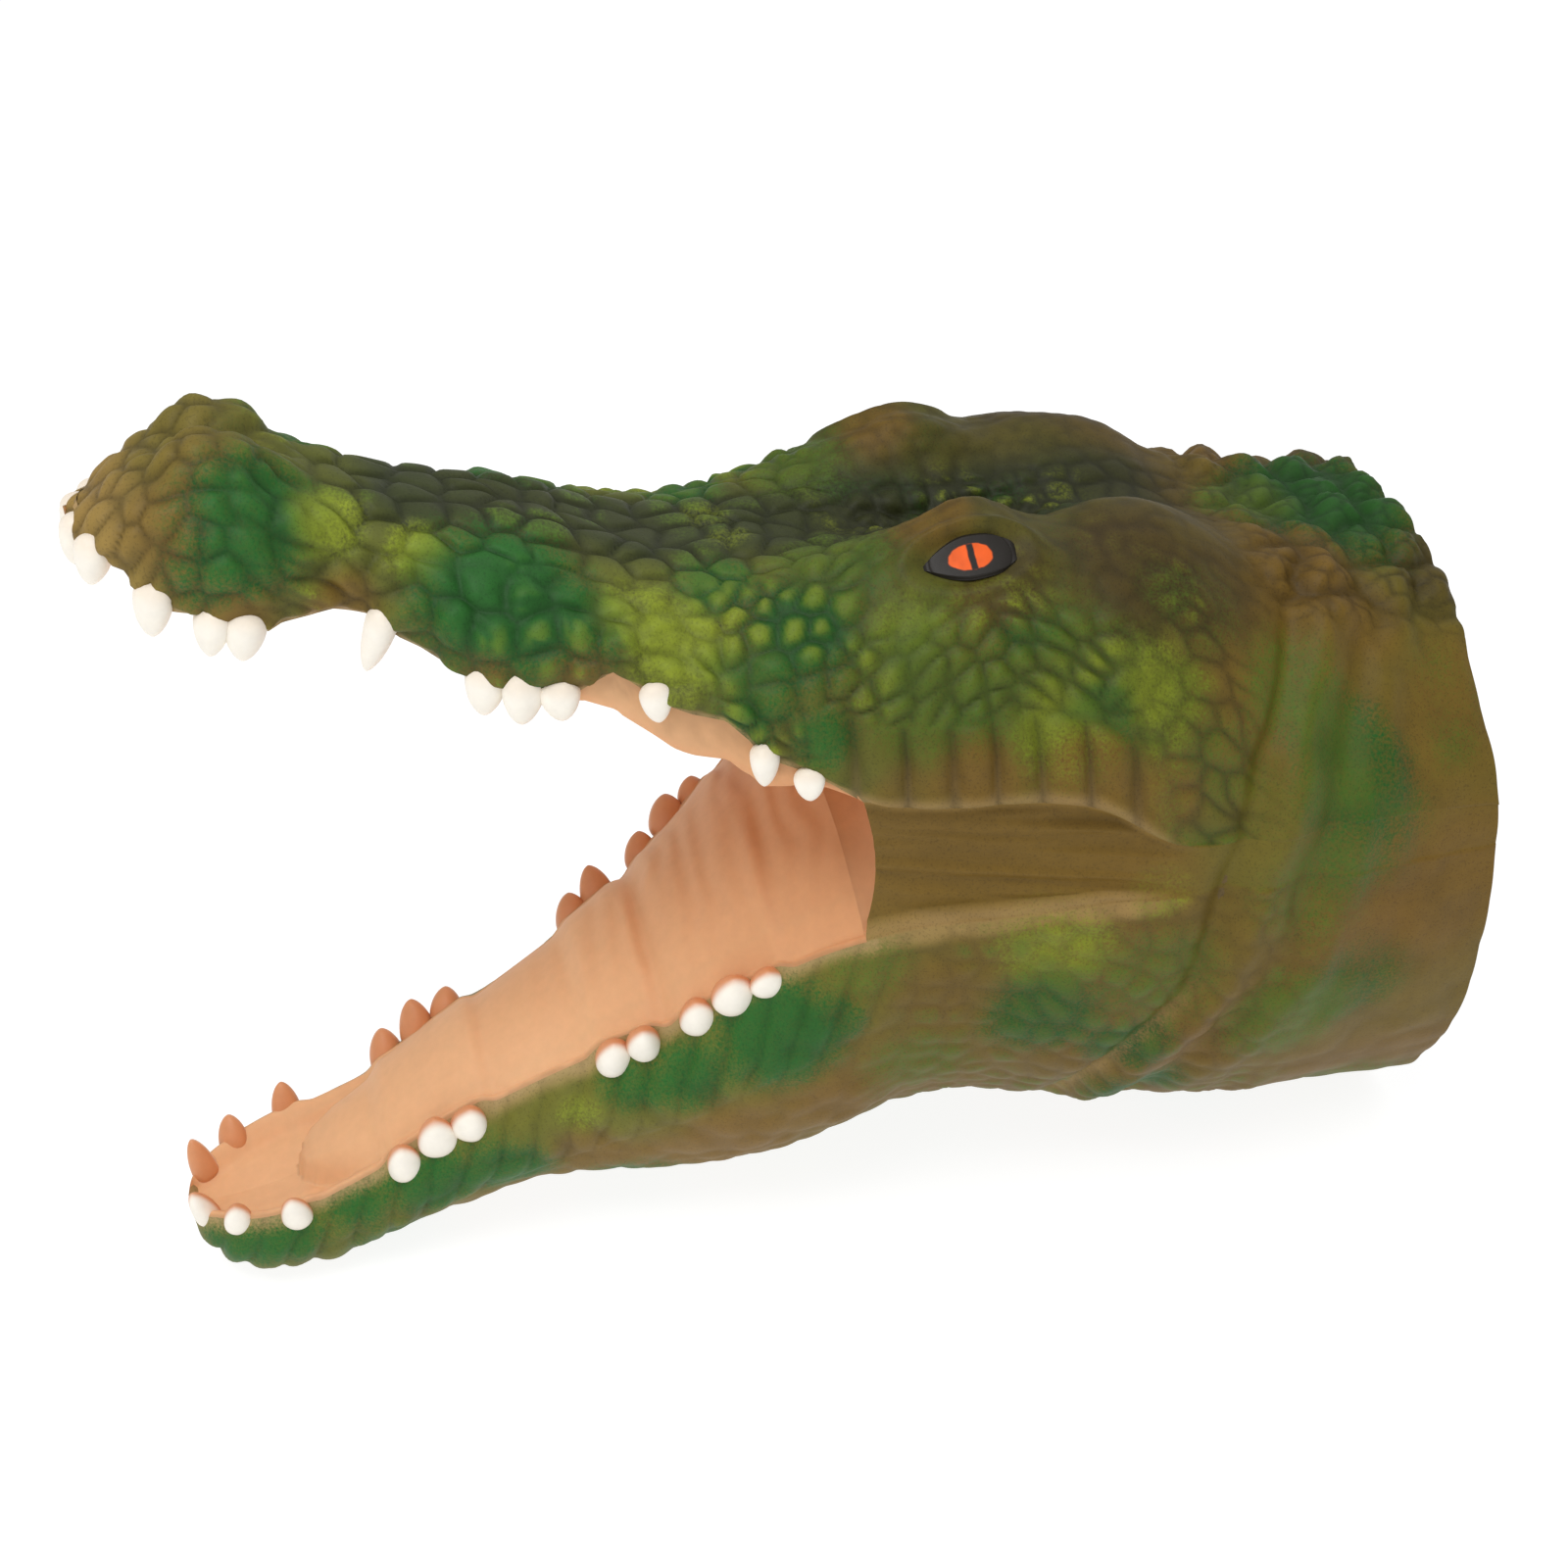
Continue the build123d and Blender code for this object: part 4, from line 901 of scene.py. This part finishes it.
# ------------------------------------------------------------- skin pieces
tq = SS[F].mean(1)
kq = region
attrs = {"base": skin_col, "over": over_rgba, "painted_relief_shade": painted_relief_shade}
PIECES = [
    ("visual_snout_skin", (kq == 0) & (tq < -6), "head", ["snout_skin"]),
    ("visual_crown_skin", (kq == 0) & (tq >= -6) & (tq < 70), "head", ["crown_skin"]),
    ("visual_jaw_skin", (kq == 1) & (tq < 12), "jawblend", ["jaw_skin"]),
    ("visual_throat_skin", (kq == 1) & (tq >= 12) & (tq < 70), "jawblend", ["throat_skin"]),
    ("visual_left_cheek_web", (kq == 2) & (tq < 70), "jawblend", ["left_cheek_web"]),
    ("visual_right_cheek_web", (kq == 3) & (tq < 70), "jawblend", ["right_cheek_web"]),
    ("visual_neck_fold", (tq >= 70) & (tq < 96), "foldblend", ["neck_fold"]),
    ("visual_neck_collar", (tq >= 96), "collar", ["neck_collar"]),
]


for name, mask, how, nodes_ in PIECES:
    ob, used = shell(name, P3, N1, F[mask], V_in, attrs)
    ob.data.materials.append(M_SKIN)
    if how == "head" or how == "collar":
        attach(ob, how)
    elif how == "jawblend":
        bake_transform(ob)
    else:
        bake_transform(ob)
    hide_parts(*nodes_)

# ------------------------------------------------------------- mouth lining
NM = 141
uu = np.linspace(-1, 1, NM)
PEACH = lin(243, 186, 143)
PEACH2 = lin(236, 172, 124)
THROAT_SHADE_ORANGE = lin(212, 140, 92)
rows_l = np.arange(kL + 1)
rows_u = np.arange(kU + 1)


def lips(G, rows):
    """(left lip, right lip) of the displaced skin, so lining and skin share an edge."""
    return G[rows, 0], G[rows, -1]


Pl = P3[iL]; Pu = P3[iU]
# Tongue: y, half width (capped at what the jaw allows), top above the lip.
TONGUE = np.array([(-106.5, 1.0, -2.6), (-105.5, 4.5, -0.6), (-103, 7.5, 2.6), (-98, 10.3, 4.4), (-92, 12.5, 5.4), (-86, 14.3, 6.0), (-66, 16.4, 7.6),
                   (-40, 22.0, 9.5), (-19, 29.0, 12.0), (-8, 34.0, 14.5), (5, 40.0, 16.5)], float)


def profile(d, knots):
    k = np.array(knots, float)
    return hermite(k[:, 0], k[:, 1][:, None], np.clip(d, k[0, 0], k[-1, 0]).ravel())[:, 0].reshape(np.shape(d))


def lining_grid(P, rows, t, kind):
    A, B = P[rows, 0], P[rows, -1]
    half = np.abs(B[:, 0] - A[:, 0]) / 2
    mid = (A + B) / 2
    au = np.abs(uu)
    # columns crowd towards the lips
    sh = np.sign(uu) * (1 - (1 - au) ** 1.35)
    G = np.zeros((len(rows), NM, 3))
    w = (sh + 1) / 2
    G[:] = A[:, None] * (1 - w)[None, :, None] + B[:, None] * w[None, :, None]
    d = half[:, None] * (1 - np.abs(sh))[None, :]
    y = G[:, :, 1]
    small = np.clip(half / 11.0, 0, 1)[:, None]
    if kind == "floor":
        yy = mid[:, 1]
        dz = profile(d / np.maximum(small, 0.05), [(0, 0), (0.7, 0.45), (1.6, 0.35), (3.2, -0.9), (5.0, -2.7), (7.5, -3.3), (60, -3.3)]) * small
        shallow = 0.72 * smoothstep(-104, -84, yy)[:, None]
        dz = dz * (1 - shallow * (dz < 0))
        hw = np.minimum(np.interp(yy, TONGUE[:, 0], TONGUE[:, 1], left=0.8, right=40), np.maximum(half - 1.4, 0.8))
        ch = np.interp(yy, TONGUE[:, 0], TONGUE[:, 2], left=-2.6, right=16.5)
        r = np.clip(np.abs(G[:, :, 0]) / hw[:, None], 0, 1)
        ridge = (1 - r ** 2.0) ** 0.8
        inside = (yy > -106.4)[:, None]
        k = np.clip(ridge * 1.6, 0, 1)
        G[:, :, 2] += dz * (1 - k * inside) + ch[:, None] * ridge * inside
        wr = np.sin(yy[:, None] * 1.25 + 0.10 * G[:, :, 0] + 2.6 * noise3(G.reshape(-1, 3) / 10.0, 51).reshape(yy[:, None].shape[0], NM))
        G[:, :, 2] += ridge * 0.26 * wr * smoothstep(-72, -20, yy)[:, None]
        G[:, :, 2] += 0.45 * noise3(G.reshape(-1, 3) / 11.0, 52).reshape(G.shape[:2]) * np.clip(d / 3, 0, 1)
    else:
        yy = mid[:, 1]
        g = np.interp(yy, [-200, -46, -40, -34, -24, -14.5, -7, -3, 5], [0.6, 0.6, 3.0, 9.0, 9.5, 8.5, 5.0, 2.4, 0.4])
        g = g[:, None]
        dd = d / np.maximum(small, 0.05)
        k1 = smoothstep(0, 1.6, dd) * g
        k2 = smoothstep(1.9, 7.0, dd)
        G[:, :, 2] += -(k1 * (1 - k2)) * small
        G[:, :, 2] += (9.5 * smoothstep(2.0, 14.0, dd) * small) * smoothstep(-116, -92, yy)[:, None] + 0.4 * noise3(G.reshape(-1, 3) / 10.0, 53).reshape(G.shape[:2]) * np.clip(d / 3, 0, 1)
        G[:, :, 2] += 0.3 * np.sin(yy[:, None] * 1.0) * smoothstep(6, 12, dd) * smoothstep(-112, -100, yy)[:, None]
    return G, d


GF, dF = lining_grid(Pl, rows_l, tL, "floor")
GP, dP = lining_grid(Pu, rows_u, tU, "palate")

# Back of the mouth, from the palate's last row to the floor's.
v = s
PB = np.zeros((len(v), NM, 3))
top, bot = GP[-1], GF[-1]
PB[:] = top[None] * (1 - v)[:, None, None] + bot[None] * v[:, None, None]
au = np.abs(uu)[None, :]
sv = np.sin(math.pi * v)[:, None]
edgeR = P3[iW[1][0]]; edgeL = P3[iW[-1][0]]
PB[:, :, 1] += 15.0 * (1 - au ** 2.2) ** 0.8 * sv ** 0.7
shu = np.sign(uu) * (1 - (1 - np.abs(uu)) ** 1.35)
wR = (np.clip(shu, 0, 1) ** 4)[None, :, None]; wL = (np.clip(-shu, 0, 1) ** 4)[None, :, None]
PB += wR * (edgeR - PB[:, -1])[:, None, :] + wL * (edgeL - PB[:, 0])[:, None, :]
fold = np.sin(uu * 9.0)[None, :] * 0.9 * sv * (1 - au ** 4)
PB[:, :, 1] += fold


def paint_lining(G, kind, d=None):
    p = G.reshape(-1, 3)
    n = 0.5 + 0.5 * noise3(p / 14.0, 61)
    c = PEACH[None] * (1 - 0.35 * n[:, None]) + PEACH2[None] * 0.35 * n[:, None]
    # Painted shade: the lining turns darker and more orange deeper in the mouth, towards the throat.
    mouth_depth_shade = smoothstep(-50, 14, p[:, 1])
    c = c * (1 - 0.55 * mouth_depth_shade[:, None]) + THROAT_SHADE_ORANGE[None] * 0.55 * mouth_depth_shade[:, None]
    if d is not None:
        # brown overspray at the very edge of the lips, and a little paint in the gutter beside the tongue
        e = (1 - smoothstep(0.1, 1.1, d.ravel() + 0.35 * noise3(p / 2.2, 62))) * 0.45
        c = c * (1 - e[:, None]) + lin(150, 110, 70)[None] * e[:, None]
    # Painted shade: the back wall of the mouth is painted a little darker.
    if kind == "back":
        c = c * 0.94
    return np.column_stack([c, np.ones(len(c))])


def lining_piece(name, G, keep, flip, kind, d, nodes_, thick=1.6):
    R, C = G.shape[:2]
    ix = np.arange(R * C).reshape(R, C)
    f = grid_faces(ix)
    rc = np.stack(np.meshgrid(np.arange(R - 1), np.arange(C - 1), indexing="ij"), -1).reshape(-1, 2)
    if flip:
        f = f[:, ::-1]
    p = G.reshape(-1, 3)
    n = normals(p, f)
    if name.endswith(("floor", "tongue", "lining")):
        m_ = n[ix[1]].mean(0); n[ix[0]] = m_ / np.linalg.norm(m_)
    if keep is not None:
        f = f[keep(rc[:, 0], rc[:, 1])]
    f = drop_flat(p, f)
    under = np.array({"palate": (0, 0, thick), "back": (0, 0.8 * thick, 0)}.get(kind, (0, 0, -thick)))
    tone = np.array(paint_lining(G, kind, d))
    tone[:, :3] *= (0.86, 0.88, 0.82)
    ob, used = shell(name, p, n, f, p + under, {"base": tone})
    ob.data.materials.append(M_LINING)
    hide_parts(*nodes_)
    return ob, used


row_t = int(np.argmax(GF[:, NM // 2, 1] > -107.5))
on_tongue = lambda r, c: (r >= row_t) & (c >= 20) & (c < NM - 21)
ob, _ = lining_piece("visual_palate_lining", GP, None, True, "palate", dP, ["palate_lining"])
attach(ob, "head")
ob, _ = lining_piece("visual_mouth_floor", GF, lambda r, c: ~on_tongue(r, c), False, "floor", dF, ["mouth_floor"])
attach(ob, "lower_jaw")
ob, _ = lining_piece("visual_tongue", GF, on_tongue, False, "tongue", dF, ["tongue"])
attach(ob, "lower_jaw")
ob, used = lining_piece("visual_mouth_back", PB, None, False, "back", None, ["mouth_back"])
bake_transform(ob)

# ------------------------------------------------------------------ teeth
# Base and tip on the gum, with the radius, for the +X side.
UPPER_FRONT = [((4.0, -117.6, 168.0), (4.2, -119.6, 161.6), 3.2), ((11.0, -115.2, 167.0), (10.8, -116.9, 160.4), 3.2)]
UPPER_SIDE = [((16.8, -107.0, 159.6), (16.6, -109.0, 152.4), 3.3), ((19.9, -98.4, 155.0), (20.3, -100.2, 148.7), 3.2),
              ((20.6, -93.2, 153.4), (21.2, -95.2, 147.2), 3.4), ((19.4, -71.0, 149.6), (18.4, -75.0, 139.8), 3.0),
              ((25.4, -55.6, 138.4), (25.6, -57.0, 131.4), 3.5), ((27.5, -49.8, 136.8), (27.9, -50.9, 129.8), 3.9),
              ((29.2, -43.8, 135.4), (29.8, -44.5, 130.2), 3.4), ((33.9, -28.1, 134.6), (34.8, -27.8, 129.4), 2.8),
              ((40.0, -11.2, 122.3), (40.8, -11.6, 116.3), 2.8), ((42.3, -4.0, 117.4), (43.0, -4.0, 113.2), 2.7)]
LOWER_FRONT = [((6.6, -126.0, 15.8), (8.2, -127.6, 23.6), 2.7), ((12.4, -119.6, 17.4), (14.2, -119.6, 23.2), 3.0)]
LOWER_SIDE = [((16.4, -108.0, 19.0), (18.4, -108.1, 25.8), 3.0), ((16.8, -85.4, 26.8), (19.2, -85.6, 33.8), 3.7),
              ((17.4, -78.2, 31.8), (20.0, -78.2, 39.4), 3.9), ((18.1, -71.6, 34.8), (20.2, -71.0, 40.6), 3.8),
              ((23.1, -42.1, 48.2), (25.8, -42.3, 54.4), 3.9), ((25.1, -36.2, 51.8), (28.8, -36.8, 58.4), 3.6),
              ((27.8, -25.6, 57.8), (30.2, -25.8, 63.6), 3.8), ((30.6, -18.8, 63.4), (33.0, -18.7, 69.8), 4.2),
              ((33.2, -12.4, 67.2), (35.4, -12.4, 71.6), 3.4)]
IVORY = lin(246, 240, 228)
WORN = lin(222, 196, 166)


def tooth(base, tip, r, side, seed, two_tone):
    """Rounded, slightly irregular cone whose buried end is rounded too."""
    b = np.array(base, float) * (side, 1, 1)
    e = np.array(tip, float) * (side, 1, 1)
    length = np.linalg.norm(e - b)
    d = (e - b) / length
    rs = np.random.RandomState(seed)
    a = np.array([side, 0, 0.0]); a -= d * (a @ d); a /= np.linalg.norm(a)      # outward
    c = np.cross(d, a)
    sunk = 0.85 * r
    rings, seg = 26, 32
    th = np.linspace(0, 1, rings)
    z = -sunk + (length + sunk) * (0.5 - 0.5 * np.cos(math.pi * th))
    k = np.clip(z / length, 0, 1)
    rad = np.where(z < 0, r * np.sqrt(np.clip(1 - (z / sunk) ** 2, 0, 1)), r * np.clip(1 - k ** 1.9, 0, 1) ** 0.62)
    ph = np.linspace(0, 2 * math.pi, seg, endpoint=False)
    lean = rs.uniform(-0.35, 0.35, 2)
    p1, p2 = rs.uniform(0, 6, 2)
    body = 1 + 0.05 * np.sin(2 * ph + p1) + 0.03 * np.sin(3 * ph + p2)
    pts = []
    for i in range(1, rings - 1):
        off = lean * k[i] ** 2
        pts.append(b + d * z[i] + (np.cos(ph) * rad[i] * body * 0.86 + off[0])[:, None] * a + (np.sin(ph) * rad[i] * body + off[1])[:, None] * c)
    n_r = rings - 2
    p = np.concatenate(pts + [[b - d * sunk], [e + a * lean[0] + c * lean[1]]])
    ix = np.arange(n_r * seg).reshape(n_r, seg)
    ix = np.concatenate([ix, ix[:, :1]], 1)
    lo_i, hi_i = n_r * seg, n_r * seg + 1
    faces = [[int(q) for q in x[::-1]] for x in grid_faces(ix)]
    faces += [[int(ix[0, j]), int(ix[0, j + 1]), lo_i] for j in range(seg)][::1]
    faces += [[int(ix[-1, j + 1]), int(ix[-1, j]), hi_i] for j in range(seg)]
    q = faces[len(ix) * 3]
    nn = np.cross(p[q[1]] - p[q[0]], p[q[2]] - p[q[1]])
    if nn @ (p[q].mean(0) - (b + d * length * 0.4)) < 0:
        faces = [x[::-1] for x in faces]
    rel = p - b
    kk = np.clip((rel @ d) / length, -1, 1)
    col_ = np.tile(IVORY, (len(p), 1))
    low = (1 - smoothstep(-0.35, 0.25, kk))[:, None]
    col_ = col_ * (1 - 0.4 * low) + WORN * 0.4 * low
    if two_tone:
        inside = 1 - smoothstep(-0.25 * r, 0.20 * r, rel @ a - 0.15 * r)
        col_ = col_ * (1 - inside[:, None]) + lin(214, 146, 100) * inside[:, None]
    return p, faces, np.column_stack([col_, np.ones(len(p))])


def teeth(name, rows, sides, body, node_name, two_tone, seed):
    P, Fc, C = [], [], []
    n = 0
    for j, (base, tip, r) in enumerate(rows):
        for side in sides:
            p, f, c = tooth(base, tip, r, side, seed + 7 * j + (3 if side < 0 else 0), two_tone)
            P.append(p); C.append(c)
            Fc += [[int(q) + n for q in x] for x in f]
            n += len(p)
    P, C = np.concatenate(P), np.concatenate(C)
    me = bpy.data.meshes.new(name)
    me.from_pydata(to_m(P).tolist(), [], Fc)
    me.update()
    a = me.color_attributes.new("base", "FLOAT_COLOR", "POINT")
    a.data.foreach_set("color", C.astype(np.float32).ravel())
    me.polygons.foreach_set("use_smooth", np.ones(len(me.polygons), bool))
    ob = bpy.data.objects.new(name, me)
    scene.collection.objects.link(ob)
    ob.data.materials.append(M_TOOTH)
    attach(ob, body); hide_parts(node_name)
    return ob


teeth("visual_upper_front_teeth", UPPER_FRONT, (1, -1), "head", "upper_front_teeth", False, 100)
teeth("visual_upper_left_teeth", UPPER_SIDE, (1,), "head", "upper_left_teeth", False, 200)
teeth("visual_upper_right_teeth", UPPER_SIDE, (-1,), "head", "upper_right_teeth", False, 200)
teeth("visual_lower_front_teeth", LOWER_FRONT, (1, -1), "lower_jaw", "lower_front_teeth", True, 300)
teeth("visual_lower_left_teeth", LOWER_SIDE, (1,), "lower_jaw", "lower_left_teeth", True, 400)
teeth("visual_lower_right_teeth", LOWER_SIDE, (-1,), "lower_jaw", "lower_right_teeth", True, 400)

# ------------------------------------------------------------------- eyes
for sx, label in ((1, "left"), (-1, "right")):
    c0, n0, a0, b0 = EYE[sx]
    r3 = P3 - c0
    ea, eb, en = r3 @ a0, r3 @ b0, r3 @ n0
    pick = (np.abs(ea) < 9.5) & (np.abs(eb) < 5.5) & (np.abs(en) < 9) & up
    A_ = np.column_stack([np.ones(pick.sum()), ea[pick], eb[pick], ea[pick] ** 2, eb[pick] ** 2, ea[pick] * eb[pick], ea[pick] ** 3])
    coef, *_r = np.linalg.lstsq(A_, en[pick], rcond=None)
    na, nb = 130, 84
    ua = np.linspace(-1, 1, na); vb = np.linspace(-1, 1, nb)
    GA, GB = np.meshgrid(ua, vb, indexing="ij")
    front = np.clip(GA, 0, 1); back_ = np.clip(-GA, 0, 1)
    outline = np.clip(1 - front ** 1.7, 0, 1) ** 0.95 * (GA >= 0) + np.sqrt(np.clip(1 - back_ ** 2.4, 0, 1)) * (GA < 0)
    ea_ = 8.8 * GA
    eb_ = 4.4 * outline * GB * np.where(GB < 0, 0.92, 1.0)
    base_n = coef[0] + coef[1] * ea_ + coef[2] * eb_ + coef[3] * ea_ ** 2 + coef[4] * eb_ ** 2 + coef[5] * ea_ * eb_ + coef[6] * ea_ ** 3
    rr = np.sqrt(np.clip((ea_ / 8.8) ** 2 + (eb_ / 4.5) ** 2, 0, 1))
    ball = np.sqrt(np.clip(1 - (ea_ / 7.4) ** 2 - (eb_ / 5.4) ** 2, 0, 1))
    height = base_n + 0.25 + 1.1 * ball - 0.7 * smoothstep(0.86, 1.0, np.maximum(np.abs(GB), np.abs(GA)))
    P_ = c0 + ea_[..., None] * a0 + eb_[..., None] * b0 + height[..., None] * n0
    p = P_.reshape(-1, 3)
    ix = np.arange(na * nb).reshape(na, nb)
    f = drop_flat(p, grid_faces(ix))
    n = normals(p, f)
    if (n @ n0).mean() < 0:
        f = f[:, ::-1]; n = -n
    wv = 0.10 * noise3(p * 1.4, 71)
    iris = 1 - smoothstep(0.95, 1.03, np.sqrt(((ea_ - 0.0) / 4.0) ** 2 + ((eb_ - 0.05) / 2.45) ** 2).ravel() + 0.5 * wv)
    pupil = 1 - smoothstep(0.50, 0.72, np.abs(ea_.ravel() + 0.25 + 0.6 * wv)) 
    pupil = pupil * (1 - smoothstep(2.3, 2.7, np.abs(eb_.ravel())))
    col_ = np.tile(lin(34, 30, 26), (len(p), 1))
    fire = lin(232, 92, 22)[None] * (1 + 0.12 * noise3(p * 0.9, 72))[:, None]
    col_ = col_ * (1 - iris[:, None]) + fire * iris[:, None]
    col_ = col_ * (1 - pupil[:, None]) + lin(26, 22, 20) * pupil[:, None]
    ob, _u = shell("visual_%s_eye" % label, p, n, f, p - n0 * 1.8, {"base": np.column_stack([np.clip(col_, 0, 1), np.ones(len(p))])})
    ob.data.materials.append(M_EYE)
    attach(ob, "head"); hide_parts("%s_eye" % label)

# ------------------------------------------------------------ floor and light
me = bpy.data.meshes.new("floor")
me.from_pydata([(-3, -3, 0), (3, -3, 0), (3, 3, 0), (-3, 3, 0)], [], [(0, 1, 2, 3)])
me.update()
floor = bpy.data.objects.new("floor", me)
scene.collection.objects.link(floor)
fm, fnt, fbs = nodes_of("floor_white")
fbs.inputs["Base Color"].default_value = (0.30, 0.30, 0.30, 1)
spec(fbs, 1.0, 0.0)
for key in ("Emission Color", "Emission"):
    if key in fbs.inputs:
        fbs.inputs[key].default_value = (1, 1, 1, 1)
        break
fbs.inputs["Emission Strength"].default_value = 0.86
floor.data.materials.append(fm)

world = bpy.data.worlds.new("world")
scene.world = world
world.use_nodes = True
bg = world.node_tree.nodes.get("Background")
bg.inputs[0].default_value = (1.0, 1.0, 1.0, 1)
bg.inputs[1].default_value = 0.52


def area(name, loc, target, size, power):
    ld = bpy.data.lights.new(name, "AREA")
    ld.size = size
    ld.energy = power
    lo_ = bpy.data.objects.new(name, ld)
    scene.collection.objects.link(lo_)
    dirv = Vector(target) - Vector(loc)
    lo_.location = loc
    lo_.rotation_euler = dirv.to_track_quat("-Z", "Y").to_euler()
    return lo_


area("key", (0.35, -0.25, 1.15), (0.0, 0.0, 0.09), 0.6, 6.6)
area("fill", (0.9, -0.7, 0.5), (0.0, 0.0, 0.09), 0.9, 1.6)
area("rim", (-0.5, 0.6, 0.9), (0.0, 0.0, 0.09), 0.8, 1.2)
scene.view_settings.view_transform = "Standard"
scene.view_settings.look = "None"
scene.view_settings.exposure = 0.0
scene.view_settings.gamma = 1.0
